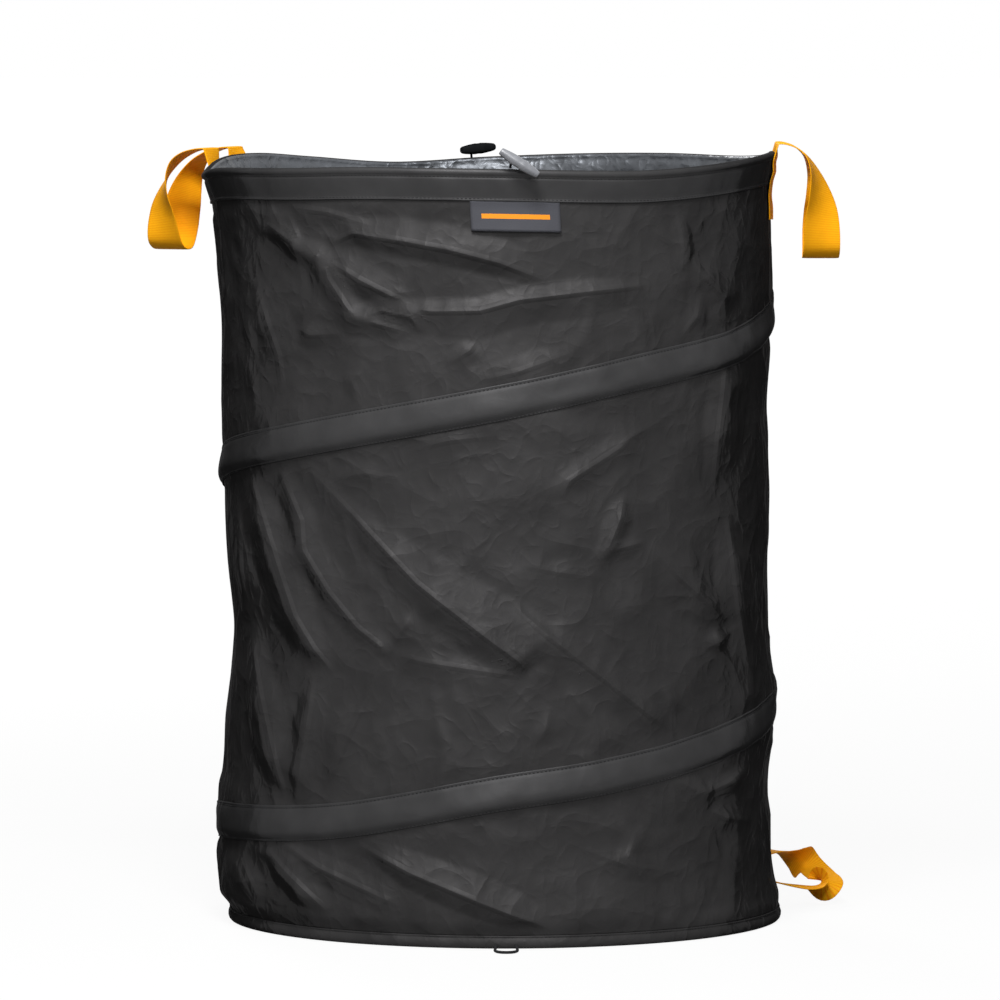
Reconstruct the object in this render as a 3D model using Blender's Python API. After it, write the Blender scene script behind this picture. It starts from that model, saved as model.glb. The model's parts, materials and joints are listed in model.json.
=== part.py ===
"""Pop-up garden bag: two spring-steel rings, a spiral spring in a sewn sleeve, a cloth
wall and base, three webbing handles, two toggles and two elastic loops.

Metres, +Z up. The base stands on z = 0 with its centre at the origin, +X is the side of
the right handle and -Y is the front, where the label hangs.
"""

import math

import bmesh
import bpy
from mathutils import Vector

# Whole bag
RIM_LEVEL = 0.790
RIM_WAVE = 0.011
BASE_OUTER_RADIUS = 0.287
RIM_FLARE = 0.0123
RIM_OVERHANG = 0.0088
RIM_LEAN = -0.017
COLUMNS = 60
MERGE = 0.00001
GAP = 0.0003

# Cloth
WALL_CLOTH = 0.001
HEM_CLOTH = 0.0008
BASE_CLOTH = 0.0012
RIM_HEM_HEIGHT = 0.033
BASE_HEM_HEIGHT = 0.0135
SAG_SHARE = 0.02
STRIP_SHARES = (0.0, 0.15, 0.5, 0.85, 1.0)

# Spring wire, and the hems' round hollows for it
WIRE_RADIUS = 0.00175
WIRE_SIDES = 6
HEM_HOLLOW = 0.0032
FERRULE_BORE = 0.0021
FERRULE_RADIUS = 0.00255
FERRULE_LENGTH = 0.026
FERRULE_SIDES = 12
TIP_LENGTH = 0.014
SLEEVE_UP = 0.027
SLEEVE_DOWN = 0.0105
SLEEVE_RIDGE = 0.001
BASE_RING_LEVEL = 0.0045

# Height of the rim above and below its level, by angle from the right side
RIM_WAVE_SHARES = (
    (0, 1.0), (15, 0.45), (30, 0.24), (50, 0.32), (70, 0.18), (90, -0.18),
    (110, -0.64), (130, 0.0), (145, 0.45), (160, 0.24), (180, -1.0), (200, -0.36),
    (225, -0.14), (245, 0.09), (270, 0.0), (300, -0.27), (315, 0.0), (340, 0.73),
)

# Sideways lean, as a share of the rim's, by height above the base hem as a share of the rim's
LEAN_SHARES = (
    (0.0, 0.0), (0.021, 0.25), (0.073, 0.46), (0.268, 0.50), (0.581, 0.45), (0.794, 0.53),
    (0.957, 0.88), (1.0, 1.0), (1.04, 1.08),
)

# Way from the wall's radius at the base to that at the rim's seam, by height between them
GIRTH_SHARES = (
    (0.0, 0.0), (0.022, 0.60), (0.0625, 0.77), (0.11, 0.78), (0.28, 0.73), (0.607, 0.59),
    (0.829, 0.54), (0.923, 0.72), (1.0, 1.0),
)

# Height of the spiral as a share of the rim's, by its turn from the right side
SPIRAL_SHARES = (
    (-96, 0.957), (-70, 0.916), (0, 0.797), (30, 0.756), (60, 0.727), (90, 0.690),
    (136, 0.637), (180, 0.589), (230, 0.513), (270, 0.437), (310, 0.361), (360, 0.281),
    (397, 0.242), (429, 0.208), (450, 0.190), (487, 0.147), (540, 0.121), (600, 0.076),
    (660, 0.034), (684, 0.0171),
)
LINE_FIRST = -16
LINE_LAST = 114
SLEEVE_FIRST = -12
SLEEVE_LAST = 110

# Label under the front hem
LABEL_WIDTH = 0.091
LABEL_HEIGHT = 0.030
LABEL_CLOTH = 0.0008
LABEL_TURN = 275
LABEL_FACETS = 6

# Tape that binds the wall's upright seam, inside
BINDING_WIDTH = 0.020
BINDING_INSET = 0.0014
BINDING_COLUMN = -18

# Webbing handles
WEB_WIDTH = 0.038
WEB_CLOTH = 0.0015
WEB_ARCH = 0.007
HINGE_CLEARANCE = 0.0006
TAIL_CLEARANCE = 0.0016
ROOT_SPREAD = 0.0315
WEB_STEPS = 4
RIM_TAIL = 0.070
BASE_TAIL_TOP = 0.064
BASE_HINGE_LEVEL = 0.030
LOOP_DROP = 0.118
LOOP_REACH = 0.047
LEFT_REACH = 0.060
LEFT_DROP = 0.106
BASE_REACH = 0.080
BASE_RISE = 0.020
RIGHT_HANDLE_TURN = 0
LEFT_HANDLE_TURN = 158
BASE_HANDLE_TURN = 22

# One leg of a hanging handle from root to fold: reach, side and drop shares, twist
HANGING_SHARES = (
    (0.22, 1.0, 0.004, 0), (0.46, 1.0, -0.035, 0), (0.68, 0.98, -0.12, 5),
    (0.84, 0.95, -0.26, 18), (0.94, 0.90, -0.43, 38), (0.99, 0.82, -0.61, 62),
    (1.0, 0.74, -0.78, 80), (1.0, 0.60, -0.91, 90), (0.99, 0.33, -0.98, 90),
)
HANGING_FOLD_SHARES = (0.98, 0.0, -1.0, 90)

# The base handle's two legs, with a rise share in place of the drop
BASE_FRONT_SHARES = (
    (0.14, 1.0, -0.1, 0), (0.34, 1.0, -0.32, 0), (0.56, 0.97, -0.48, 12),
    (0.74, 0.90, -0.50, 35), (0.88, 0.80, -0.42, 62), (0.97, 0.64, -0.30, 84),
    (1.0, 0.34, -0.16, 90),
)
BASE_REAR_SHARES = (
    (0.04, 1.0, 0.03, 0), (0.13, 1.0, 0.42, 0), (0.28, 1.0, 0.95, 0),
    (0.46, 0.98, 1.15, 8), (0.64, 0.93, 1.02, 24), (0.80, 0.85, 0.72, 48), (0.93, 0.70, 0.40, 74),
    (1.0, 0.40, 0.14, 90),
)
BASE_FOLD_SHARES = (1.0, 0.0, -0.04, 90)

# Barrel toggles
TOGGLE_LENGTH = 0.045
TOGGLE_RADIUS = 0.006
TOGGLE_SIDES = 14
TOGGLE_SHARES = (
    (-0.5, 0.30), (-0.48, 0.58), (-0.42, 0.74), (-0.25, 0.90), (0.0, 1.0),
    (0.25, 0.90), (0.42, 0.74), (0.48, 0.58), (0.5, 0.30),
)
FRONT_TOGGLE = (0.0085, 0.0316, 0.0060)
FRONT_TOGGLE_TILT = 33
REAR_TOGGLE = (-0.0015, 0.0115, 0.0065)
REAR_TOGGLE_YAW = 39
REAR_TOGGLE_TILT = 4
FRONT_TURN = 270
REAR_TURN = 90

# Cords. Points of a cord or toggle lie outward, sideways and up from the rim at the
# front or the rear, and those of an elastic so from the foot of the base hem.
CORD_RADIUS = 0.00125
FRONT_CORD = (
    (-0.0038, 0.0226, 0.0003), (-0.0038, 0.0230, 0.0038), (-0.0033, 0.0258, 0.0062),
    (-0.0021, 0.0295, 0.0066), (-0.0001, 0.0316, 0.0061), (0.0020, 0.0316, 0.0060),
)
REAR_CORD = (
    (-0.0013, 0.0160, -0.0120), (0.0052, 0.0164, -0.0137), (0.0099, 0.0172, -0.0112),
    (0.0113, 0.0182, -0.0055), (0.0099, 0.0187, 0.0006), (0.0065, 0.0180, 0.0055),
    (0.0036, 0.01565, 0.0065),
)
CORD_HINGE_REACH = 0.0030
ELASTIC_RADIUS = 0.0015
ELASTIC_LOOP = (
    (-0.0001, -0.0085, 0.0045), (0.0055, -0.0090, 0.0034), (0.0115, -0.0096, 0.0022),
    (0.0180, -0.0099, 0.0019), (0.0248, -0.0095, 0.0019), (0.0310, -0.0078, 0.0019),
    (0.0358, -0.0040, 0.0019), (0.0375, 0.0015, 0.0019), (0.0358, 0.0070, 0.0019),
    (0.0310, 0.0108, 0.0019), (0.0248, 0.0125, 0.0019), (0.0180, 0.0129, 0.0019),
    (0.0115, 0.0126, 0.0022), (0.0055, 0.0120, 0.0034), (-0.0002, 0.0115, 0.0045),
)


def clear_scene():
    for thing in list(bpy.data.objects):
        bpy.data.objects.remove(thing, do_unlink=True)


def make_material(name, colour, roughness, metallic=0.0):
    material = bpy.data.materials.new(name)
    material.use_nodes = True
    shader = material.node_tree.nodes["Principled BSDF"]
    shader.inputs["Base Color"].default_value = (*colour, 1.0)
    shader.inputs["Roughness"].default_value = roughness
    shader.inputs["Metallic"].default_value = metallic
    return material


def finish(name, mesh_builder, material, parent=None, smooth=False):
    """Turn a bmesh into a named object, seated on its parent empty if it has one."""
    bmesh.ops.recalc_face_normals(mesh_builder, faces=mesh_builder.faces)
    if smooth:
        for face in mesh_builder.faces:
            face.smooth = True
    mesh = bpy.data.meshes.new(name)
    mesh_builder.to_mesh(mesh)
    mesh_builder.free()
    mesh.materials.append(material)
    thing = bpy.data.objects.new(name, mesh)
    bpy.context.collection.objects.link(thing)
    if parent is not None:
        seat_on(thing, parent)
    return thing


def seat_on(thing, parent):
    thing.parent = parent
    thing.matrix_parent_inverse = parent.matrix_world.inverted()


def make_pivot(name, place, parent=None):
    pivot = bpy.data.objects.new(name, None)
    bpy.context.collection.objects.link(pivot)
    pivot.location = place
    bpy.context.view_layer.update()
    if parent is not None:
        seat_on(pivot, parent)
        bpy.context.view_layer.update()
    return pivot


def add_grid(mesh_builder, columns, rows, place, split_rows=()):
    """A grid of cells whose vertex (column, row) goes to place(column, row).

    Cells in the first of split_rows are cut in two along one diagonal, and cells in the
    second along the other, so that the two faces of a strap are cut alike.
    """
    made = bmesh.ops.create_grid(
        mesh_builder, x_segments=columns, y_segments=rows, size=1.0)
    for split_row, method in zip(split_rows, ("FIXED", "ALTERNATE")):
        cells = [face for face in mesh_builder.faces
                 if int((face.calc_center_median().y + 1.0) / 2.0 * rows) == split_row]
        bmesh.ops.triangulate(mesh_builder, faces=cells, quad_method=method)
    for vertex in made["verts"]:
        column = round((vertex.co.x + 1.0) / 2.0 * columns)
        row = round((vertex.co.y + 1.0) / 2.0 * rows)
        vertex.co = place(column, row)


def sweep(stations, closed, split_rows=()):
    """A solid swept through loops of points, closed into a ring or capped."""
    mesh_builder = bmesh.new()
    around = len(stations[0])
    count = len(stations)
    columns = count if closed else count - 1
    add_grid(mesh_builder, columns, around,
             lambda column, row: stations[column % count][row % around], split_rows)
    bmesh.ops.remove_doubles(mesh_builder, verts=mesh_builder.verts, dist=MERGE)
    if not closed:
        open_edges = [edge for edge in mesh_builder.edges if edge.is_boundary]
        bmesh.ops.holes_fill(mesh_builder, edges=open_edges, sides=around)
    return mesh_builder


def read_table(table, at, period=None):
    """Smooth value of a table at a point, by a cubic through its entries."""
    if period is not None:
        at = at % period
        points = ([(a - period, v) for a, v in table] + list(table)
                  + [(a + period, v) for a, v in table])
    else:
        points = list(table)
        at = min(max(at, points[0][0]), points[-1][0])
    count = len(points)
    left = max(i for i in range(count - 1) if points[i][0] <= at or i == 0)
    (a0, v0), (a1, v1) = points[left], points[left + 1]
    before = points[max(left - 1, 0)]
    after = points[min(left + 2, count - 1)]
    slope0 = (v1 - before[1]) / (a1 - before[0])
    slope1 = (after[1] - v0) / (after[0] - a0)
    span = a1 - a0
    t = (at - a0) / span
    return ((2 * t**3 - 3 * t**2 + 1) * v0 + (t**3 - 2 * t**2 + t) * span * slope0
            + (3 * t**2 - 2 * t**3) * v1 + (t**3 - t**2) * span * slope1)


# The bag's lines

def rim_top(turn):
    return RIM_LEVEL + RIM_WAVE * read_table(RIM_WAVE_SHARES, turn, 360)


def rim_seam(turn):
    return rim_top(turn) - RIM_HEM_HEIGHT


def column_turn(column):
    return -360.0 / COLUMNS * column


def line_level(column):
    """Height of the spiral, held between the two hems' seams past its ends."""
    if column <= LINE_FIRST:
        return rim_seam(column_turn(column))
    if column >= LINE_LAST:
        return BASE_HEM_HEIGHT
    return RIM_LEVEL * read_table(SPIRAL_SHARES, -column_turn(column))


RIM_OUTER_RADIUS = BASE_OUTER_RADIUS + RIM_FLARE
SEAM_WALL_RADIUS = RIM_OUTER_RADIUS - RIM_OVERHANG
BASE_RING_RADIUS = BASE_OUTER_RADIUS - HEM_CLOTH - HEM_HOLLOW
RIM_RING_RADIUS = RIM_OUTER_RADIUS - HEM_CLOTH - HEM_HOLLOW
BASE_WALL_RADIUS = BASE_RING_RADIUS - HEM_HOLLOW
PANEL_RADIUS = BASE_WALL_RADIUS + GAP
WALL_BOTTOM = BASE_CLOTH + GAP


def wall_line_radius(level):
    """Outer radius of the wall where a wire or a seam holds it out."""
    height = RIM_LEVEL - RIM_HEM_HEIGHT - BASE_HEM_HEIGHT
    share = read_table(GIRTH_SHARES, (level - BASE_HEM_HEIGHT) / height)
    return BASE_WALL_RADIUS + (SEAM_WALL_RADIUS - BASE_WALL_RADIUS) * share


def bag_point(turn, radius, level):
    angle = math.radians(turn)
    height = RIM_LEVEL - BASE_HEM_HEIGHT
    lean = RIM_LEAN * read_table(LEAN_SHARES, (level - BASE_HEM_HEIGHT) / height)
    return Vector((lean + radius * math.cos(angle), radius * math.sin(angle), level))


def sag(share):
    """How far the cloth draws in between two lines, straight between its rows."""
    rows = [(s, 4.0 * s * (1.0 - s)) for s in STRIP_SHARES]
    for (s0, v0), (s1, v1) in zip(rows, rows[1:]):
        if share <= s1:
            return v0 + (v1 - v0) * (share - s0) / (s1 - s0)
    return 0.0


def strip_radius(column, level):
    """Outer radius of the wall in the strip whose lower line is at this column."""
    top = line_level(column - COLUMNS)
    depth = top - line_level(column)
    if depth <= MERGE:
        return wall_line_radius(level)
    share = (top - level) / depth
    return wall_line_radius(level) - SAG_SHARE * depth * sag(share)


# The wall and the base

def wall_point(column, row):
    top = line_level(column - COLUMNS)
    bottom = line_level(column)
    level = top + (bottom - top) * STRIP_SHARES[row]
    radius = wall_line_radius(level)
    radius -= SAG_SHARE * (top - bottom) * 4.0 * STRIP_SHARES[row] * (1.0 - STRIP_SHARES[row])
    return bag_point(column_turn(column), radius, level)


def wall_top_level(turn):
    return rim_top(turn) - 2.0 * (HEM_CLOTH + HEM_HOLLOW)


def build_wall(material):
    mesh_builder = bmesh.new()
    strip_columns = LINE_LAST + COLUMNS - LINE_FIRST
    add_grid(mesh_builder, strip_columns, len(STRIP_SHARES) - 1,
             lambda column, row: wall_point(LINE_FIRST + column, row))

    def rim_point(column, row):
        turn = column_turn(column % COLUMNS)
        if row == 0:
            return bag_point(turn, wall_line_radius(rim_seam(turn)), rim_seam(turn))
        return bag_point(turn, RIM_RING_RADIUS + WALL_CLOTH / 2.0, wall_top_level(turn))

    def foot_point(column, row):
        level = WALL_BOTTOM if row == 0 else BASE_HEM_HEIGHT
        return bag_point(column_turn(column % COLUMNS), wall_line_radius(level), level)

    add_grid(mesh_builder, COLUMNS, 1, rim_point)
    add_grid(mesh_builder, COLUMNS, 1, foot_point)
    bmesh.ops.remove_doubles(mesh_builder, verts=mesh_builder.verts, dist=MERGE)
    bmesh.ops.dissolve_degenerate(mesh_builder, edges=mesh_builder.edges, dist=MERGE)
    wall = finish("wall_fabric", mesh_builder, material)
    middle = wall.data.polygons[0]
    outward = middle.normal.dot(Vector((middle.center.x, middle.center.y, 0.0))) > 0.0
    thickness = wall.modifiers.new("Cloth", "SOLIDIFY")
    thickness.thickness = WALL_CLOTH
    thickness.offset = -1.0 if outward else 1.0
    return wall


def build_base_panel(material):
    mesh_builder = bmesh.new()
    bmesh.ops.create_circle(
        mesh_builder, cap_ends=True, segments=COLUMNS, radius=PANEL_RADIUS)
    raised = bmesh.ops.extrude_face_region(mesh_builder, geom=list(mesh_builder.faces))
    lifted = [item for item in raised["geom"] if isinstance(item, bmesh.types.BMVert)]
    bmesh.ops.translate(mesh_builder, vec=(0.0, 0.0, BASE_CLOTH), verts=lifted)
    return finish("base_panel", mesh_builder, material)


# The hems

def rim_sleeve_profile(turn):
    ring = rim_top(turn) - HEM_CLOTH - HEM_HOLLOW
    seam = rim_seam(turn)
    outside = wall_line_radius(seam)
    inside = outside - WALL_CLOTH
    corner_share = math.sqrt(0.5)
    crown = []
    for half in (HEM_HOLLOW + HEM_CLOTH, HEM_HOLLOW):
        corner = half * corner_share
        crown.append([
            (RIM_RING_RADIUS + half, ring), (RIM_RING_RADIUS + corner, ring + corner),
            (RIM_RING_RADIUS, ring + half), (RIM_RING_RADIUS - corner, ring + corner),
            (RIM_RING_RADIUS - half, ring),
        ])
    skin = [(outside + GAP + HEM_CLOTH, seam)] + crown[0] + [(inside - GAP - HEM_CLOTH, seam)]
    lining = [(outside + GAP, seam)] + crown[1] + [(inside - GAP, seam)]
    return [bag_point(turn, radius, level) for radius, level in skin + lining[::-1]]


def base_sleeve_profile(turn):
    wall = wall_line_radius(BASE_HEM_HEIGHT)
    edge = PANEL_RADIUS + GAP
    outer = HEM_HOLLOW + HEM_CLOTH
    half = HEM_HOLLOW / 2.0
    upper = BASE_RING_LEVEL + HEM_HOLLOW
    lower = BASE_RING_LEVEL - half
    skin = [(edge, 0.0), (BASE_RING_RADIUS + half, 0.0), (BASE_RING_RADIUS + outer, lower),
            (BASE_RING_RADIUS + outer, upper), (wall + GAP + HEM_CLOTH, BASE_HEM_HEIGHT)]
    lining = [(edge, HEM_CLOTH), (BASE_RING_RADIUS + half, HEM_CLOTH),
              (BASE_RING_RADIUS + HEM_HOLLOW, lower), (BASE_RING_RADIUS + HEM_HOLLOW, upper),
              (wall + GAP, BASE_HEM_HEIGHT)]
    return [bag_point(turn, radius, level) for radius, level in skin + lining[::-1]]


def build_ring_band(name, profile, material):
    stations = [profile(column_turn(column)) for column in range(COLUMNS)]
    return finish(name, sweep(stations, closed=True), material)


# The spiral sleeve and the wires

def spiral_sleeve_profile(column):
    level = line_level(column)
    line = wall_line_radius(level)
    ridge = line + 2.0 * (WIRE_RADIUS + GAP)
    above = strip_radius(column, level + SLEEVE_UP) + GAP
    below = strip_radius(column + COLUMNS, level - SLEEVE_DOWN) + GAP
    lining = [(above, level + SLEEVE_UP), (ridge, level + SLEEVE_RIDGE),
              (ridge, level - SLEEVE_RIDGE), (below, level - SLEEVE_DOWN)]
    skin = [(radius + HEM_CLOTH, height) for radius, height in lining]
    turn = column_turn(column)
    return [bag_point(turn, radius, height) for radius, height in skin + lining[::-1]]


def wire_loop(turn, radius, level):
    loop = []
    for side in range(WIRE_SIDES):
        angle = math.tau * (side + 0.5) / WIRE_SIDES
        loop.append(bag_point(turn, radius + WIRE_RADIUS * math.cos(angle),
                              level + WIRE_RADIUS * math.sin(angle)))
    return loop


def spiral_wire_loop(column):
    level = line_level(column)
    radius = wall_line_radius(level) + GAP + WIRE_RADIUS
    return wire_loop(column_turn(column), radius, level)


def build_wire_tip(name, end, beyond, rubber):
    """A plug that carries the wire's line on past its end, with parallel faces."""
    start = spiral_wire_loop(end)
    ahead = spiral_wire_loop(beyond)
    span = (ahead[0] - start[0]).length
    stations = []
    for reach in (2.0 * GAP, TIP_LENGTH):
        stations.append([a.lerp(b, reach / span) for a, b in zip(start, ahead)])
    finish(name, sweep(stations, closed=False), rubber)


def build_spiral(cloth, steel, rubber):
    columns = range(SLEEVE_FIRST, SLEEVE_LAST + 1)
    stations = [spiral_sleeve_profile(column) for column in columns]
    finish("spiral_sleeve", sweep(stations, closed=False), cloth)
    first = SLEEVE_FIRST + 1
    last = SLEEVE_LAST - 1
    stations = [spiral_wire_loop(column) for column in range(first, last + 1)]
    finish("spiral_wire", sweep(stations, closed=False), steel, smooth=True)
    build_wire_tip("spiral_wire_upper_tip", first, SLEEVE_FIRST, rubber)
    build_wire_tip("spiral_wire_lower_tip", last, SLEEVE_LAST, rubber)


def build_ring_wires(steel, rim_pivot):
    rim_stations = []
    base_stations = []
    for column in range(COLUMNS):
        turn = column_turn(column)
        rim_ring = rim_top(turn) - HEM_CLOTH - HEM_HOLLOW
        rim_stations.append(wire_loop(turn, RIM_RING_RADIUS, rim_ring))
        base_stations.append(wire_loop(turn, BASE_RING_RADIUS, BASE_RING_LEVEL))
    finish("top_ring_wire", sweep(rim_stations, closed=True), steel, rim_pivot, smooth=True)
    finish("base_ring_wire", sweep(base_stations, closed=True), steel, smooth=True)


def build_ferrule(name, first, second, material, parent=None):
    """A crimped tube round the straight stretch of ring between two columns."""
    middle = (first + second) / 2.0
    along = (second - first).normalized()
    turned = along.to_track_quat("Z", "Y")
    stations = []
    for side in range(FERRULE_SIDES):
        angle = math.tau * side / FERRULE_SIDES
        direction = turned @ Vector((math.cos(angle), math.sin(angle), 0.0))
        start = middle - along * FERRULE_LENGTH / 2.0
        end = middle + along * FERRULE_LENGTH / 2.0
        stations.append([
            start + direction * FERRULE_BORE, start + direction * FERRULE_RADIUS,
            end + direction * FERRULE_RADIUS, end + direction * FERRULE_BORE,
        ])
    finish(name, sweep(stations, closed=True), material, parent)


def build_ferrules(steel, rim_pivot):
    back = -COLUMNS // 4
    rim_ends = []
    base_ends = []
    for column in (back, back - 1):
        turn = column_turn(column)
        rim_ends.append(
            bag_point(turn, RIM_RING_RADIUS, rim_top(turn) - HEM_CLOTH - HEM_HOLLOW))
        base_ends.append(bag_point(turn, BASE_RING_RADIUS, BASE_RING_LEVEL))
    build_ferrule("top_ring_ferrule", rim_ends[0], rim_ends[1], steel, rim_pivot)
    build_ferrule("base_ring_ferrule", base_ends[0], base_ends[1], steel)


# Label and seam binding

def build_label(material, rim_pivot):
    half_turn = math.degrees(LABEL_WIDTH / SEAM_WALL_RADIUS) / 2.0
    stations = []
    for facet in range(LABEL_FACETS + 1):
        turn = LABEL_TURN - half_turn + 2.0 * half_turn * facet / LABEL_FACETS
        top = rim_seam(turn) - GAP
        inner = wall_line_radius(top) + GAP
        outer = inner + LABEL_CLOTH
        stations.append([
            bag_point(turn, inner, top), bag_point(turn, outer, top),
            bag_point(turn, outer, top - LABEL_HEIGHT), bag_point(turn, inner, top - LABEL_HEIGHT),
        ])
    finish("label", sweep(stations, closed=False), material, rim_pivot)


def build_binding(material):
    """The tape follows every row of the wall down one column, on the inside."""
    turn = column_turn(BINDING_COLUMN)
    side = Vector((-math.sin(math.radians(turn)), math.cos(math.radians(turn)), 0.0))
    rows = []
    column = BINDING_COLUMN
    while column <= LINE_LAST + COLUMNS:
        if column >= LINE_FIRST and line_level(column - COLUMNS) - line_level(column) > MERGE:
            top = line_level(column - COLUMNS)
            bottom = line_level(column)
            for share in STRIP_SHARES[:-1]:
                level = top + (bottom - top) * share
                rows.append((level, strip_radius(column, level)))
        column += COLUMNS
    rows[0] = (rows[0][0] - HEM_CLOTH, rows[0][1])
    rows.append((BASE_HEM_HEIGHT, wall_line_radius(BASE_HEM_HEIGHT)))
    stations = []
    for level, radius in rows:
        outer = bag_point(turn, radius - WALL_CLOTH - BINDING_INSET, level)
        inner = bag_point(turn, radius - WALL_CLOTH - BINDING_INSET - HEM_CLOTH, level)
        stations.append([
            outer - side * BINDING_WIDTH / 2.0, outer + side * BINDING_WIDTH / 2.0,
            inner + side * BINDING_WIDTH / 2.0, inner - side * BINDING_WIDTH / 2.0,
        ])
    finish("back_seam_binding", sweep(stations, closed=False), material)


# Webbing

class Frame:
    """Directions at a handle's hinge: outward, sideways and up."""

    def __init__(self, turn, level, radius):
        angle = math.radians(turn)
        self.turn = turn
        self.out = Vector((math.cos(angle), math.sin(angle), 0.0))
        self.side = Vector((-math.sin(angle), math.cos(angle), 0.0))
        self.up = Vector((0.0, 0.0, 1.0))
        self.hinge = bag_point(turn, radius, level)

    def at(self, out, side, up):
        return self.hinge + self.out * out + self.side * side + self.up * up


def web_station(centre, across, normal):
    half_width = across * WEB_WIDTH / 2.0
    half_cloth = normal * WEB_CLOTH / 2.0
    return [centre - half_width - half_cloth, centre + half_width - half_cloth,
            centre + half_width + half_cloth, centre - half_width + half_cloth]


def loop_path(frame, front, rear, fold, reach, rise):
    """Centres and twists from the front root, round the fold, to the rear root."""
    path = [(frame.at(HINGE_CLEARANCE, -ROOT_SPREAD, 0.0), 0.0)]
    for out, side, up, twist in front:
        path.append((frame.at(out * reach, -side * ROOT_SPREAD, up * rise), twist))
    path.append((frame.at(fold[0] * reach, 0.0, fold[2] * rise), fold[3]))
    for out, side, up, twist in reversed(rear):
        path.append((frame.at(out * reach, side * ROOT_SPREAD, up * rise), 180.0 - twist))
    path.append((frame.at(HINGE_CLEARANCE, ROOT_SPREAD, 0.0), 180.0))
    return path


def smooth_path(path):
    """More stations on a strap's path, on a cubic through those given."""
    tables = [[(index, centre[axis]) for index, (centre, twist) in enumerate(path)]
              for axis in range(3)]
    twists = [(index, twist) for index, (centre, twist) in enumerate(path)]
    smooth = []
    for step in range(WEB_STEPS * (len(path) - 1) + 1):
        at = step / WEB_STEPS
        centre = Vector([read_table(table, at) for table in tables])
        smooth.append((centre, read_table(twists, at)))
    return smooth


def build_loop(name, frame, path, material, parent):
    """The width turns from sideways at the roots to outward at the fold."""
    path = smooth_path(path)
    stations = []
    for index, (centre, twist) in enumerate(path):
        before = path[max(index - 1, 0)][0]
        after = path[min(index + 1, len(path) - 1)][0]
        along = (after - before).normalized()
        angle = math.radians(twist)
        across = frame.side * math.cos(angle) + frame.out * math.sin(angle)
        across = (across - along * across.dot(along)).normalized()
        stations.append(web_station(centre, across, along.cross(across)))
    finish(name, sweep(stations, False, split_rows=(0, 2)), material, parent)


def root_turn(frame, way, radius):
    return frame.turn + way * math.degrees(math.asin(ROOT_SPREAD / radius))


def build_rim_tail(name, frame, way, material, rim_pivot):
    """The strap's end, sewn down the outside of the hem and the wall below it."""
    turn = root_turn(frame, way, RIM_OUTER_RADIUS)
    side = Vector((-math.sin(math.radians(turn)), math.cos(math.radians(turn)), 0.0))
    stand = GAP + WEB_CLOTH / 2.0
    crest = rim_top(turn)
    seam = rim_seam(turn)
    hem_face = wall_line_radius(seam) + GAP + HEM_CLOTH + stand
    out = Vector((side.y, -side.x, 0.0))
    top = frame.at(0.0, way * ROOT_SPREAD, -TAIL_CLEARANCE)
    rows = [
        (bag_point(turn, RIM_OUTER_RADIUS + stand, crest - HEM_HOLLOW), side, out),
        (bag_point(turn, hem_face, seam), side, out),
        (bag_point(turn, hem_face, crest - RIM_TAIL), side, out),
    ]
    stations = [web_station(top, frame.side, frame.out)]
    stations += [web_station(centre, across, normal) for centre, across, normal in rows]
    finish(name, sweep(stations, closed=False), material, rim_pivot)


def foot_radius(turn, level):
    """Outer radius of the wall between its base hem and the spiral's last turn."""
    column = 2 * COLUMNS - turn * COLUMNS / 360.0
    return strip_radius(column, level)


def build_base_tail(name, frame, way, material):
    """The base strap's end, sewn up the wall above the base hem."""
    turn = root_turn(frame, way, BASE_OUTER_RADIUS)
    side = Vector((-math.sin(math.radians(turn)), math.cos(math.radians(turn)), 0.0))
    out = Vector((side.y, -side.x, 0.0))
    start = frame.at(0.0, way * ROOT_SPREAD, TAIL_CLEARANCE)
    stations = [web_station(start, frame.side, frame.out)]
    middle = (BASE_TAIL_TOP + BASE_HINGE_LEVEL) / 2.0
    for level in (middle, BASE_TAIL_TOP):
        stand = foot_radius(turn, level) + GAP + WEB_CLOTH / 2.0
        stations.append(web_station(bag_point(turn, stand, level), side, out))
    finish(name, sweep(stations, closed=False), material)


def build_rim_handle(name, turn, reach, drop, material, rim_pivot):
    level = rim_top(turn) + WEB_ARCH
    frame = Frame(turn, level, RIM_OUTER_RADIUS + GAP + WEB_CLOTH / 2.0)
    pivot = make_pivot(name + "_hinge", frame.hinge, rim_pivot)
    path = loop_path(frame, HANGING_SHARES, HANGING_SHARES, HANGING_FOLD_SHARES, reach, drop)
    build_loop(name + "_loop", frame, path, material, pivot)
    build_rim_tail(name + "_tail_a", frame, -1, material, rim_pivot)
    build_rim_tail(name + "_tail_b", frame, 1, material, rim_pivot)


def build_base_handle(material):
    radius = foot_radius(BASE_HANDLE_TURN, BASE_HINGE_LEVEL) + GAP + WEB_CLOTH / 2.0
    frame = Frame(BASE_HANDLE_TURN, BASE_HINGE_LEVEL, radius)
    pivot = make_pivot("base_handle_hinge", frame.hinge)
    path = loop_path(frame, BASE_FRONT_SHARES, BASE_REAR_SHARES, BASE_FOLD_SHARES,
                     BASE_REACH, BASE_RISE)
    build_loop("base_handle_loop", frame, path, material, pivot)
    build_base_tail("base_handle_tail_a", frame, -1, material)
    build_base_tail("base_handle_tail_b", frame, 1, material)


# Toggles and cords

def build_toggle(name, centre, along, material, pivot):
    turned = along.to_track_quat("Z", "Y")
    stations = []
    for length_share, radius_share in TOGGLE_SHARES:
        loop = []
        for side in range(TOGGLE_SIDES):
            angle = math.tau * side / TOGGLE_SIDES
            offset = Vector((TOGGLE_RADIUS * radius_share * math.cos(angle),
                             TOGGLE_RADIUS * radius_share * math.sin(angle),
                             TOGGLE_LENGTH * length_share))
            loop.append(centre + turned @ offset)
        stations.append(loop)
    finish(name, sweep(stations, closed=False), material, pivot, smooth=True)


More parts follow.
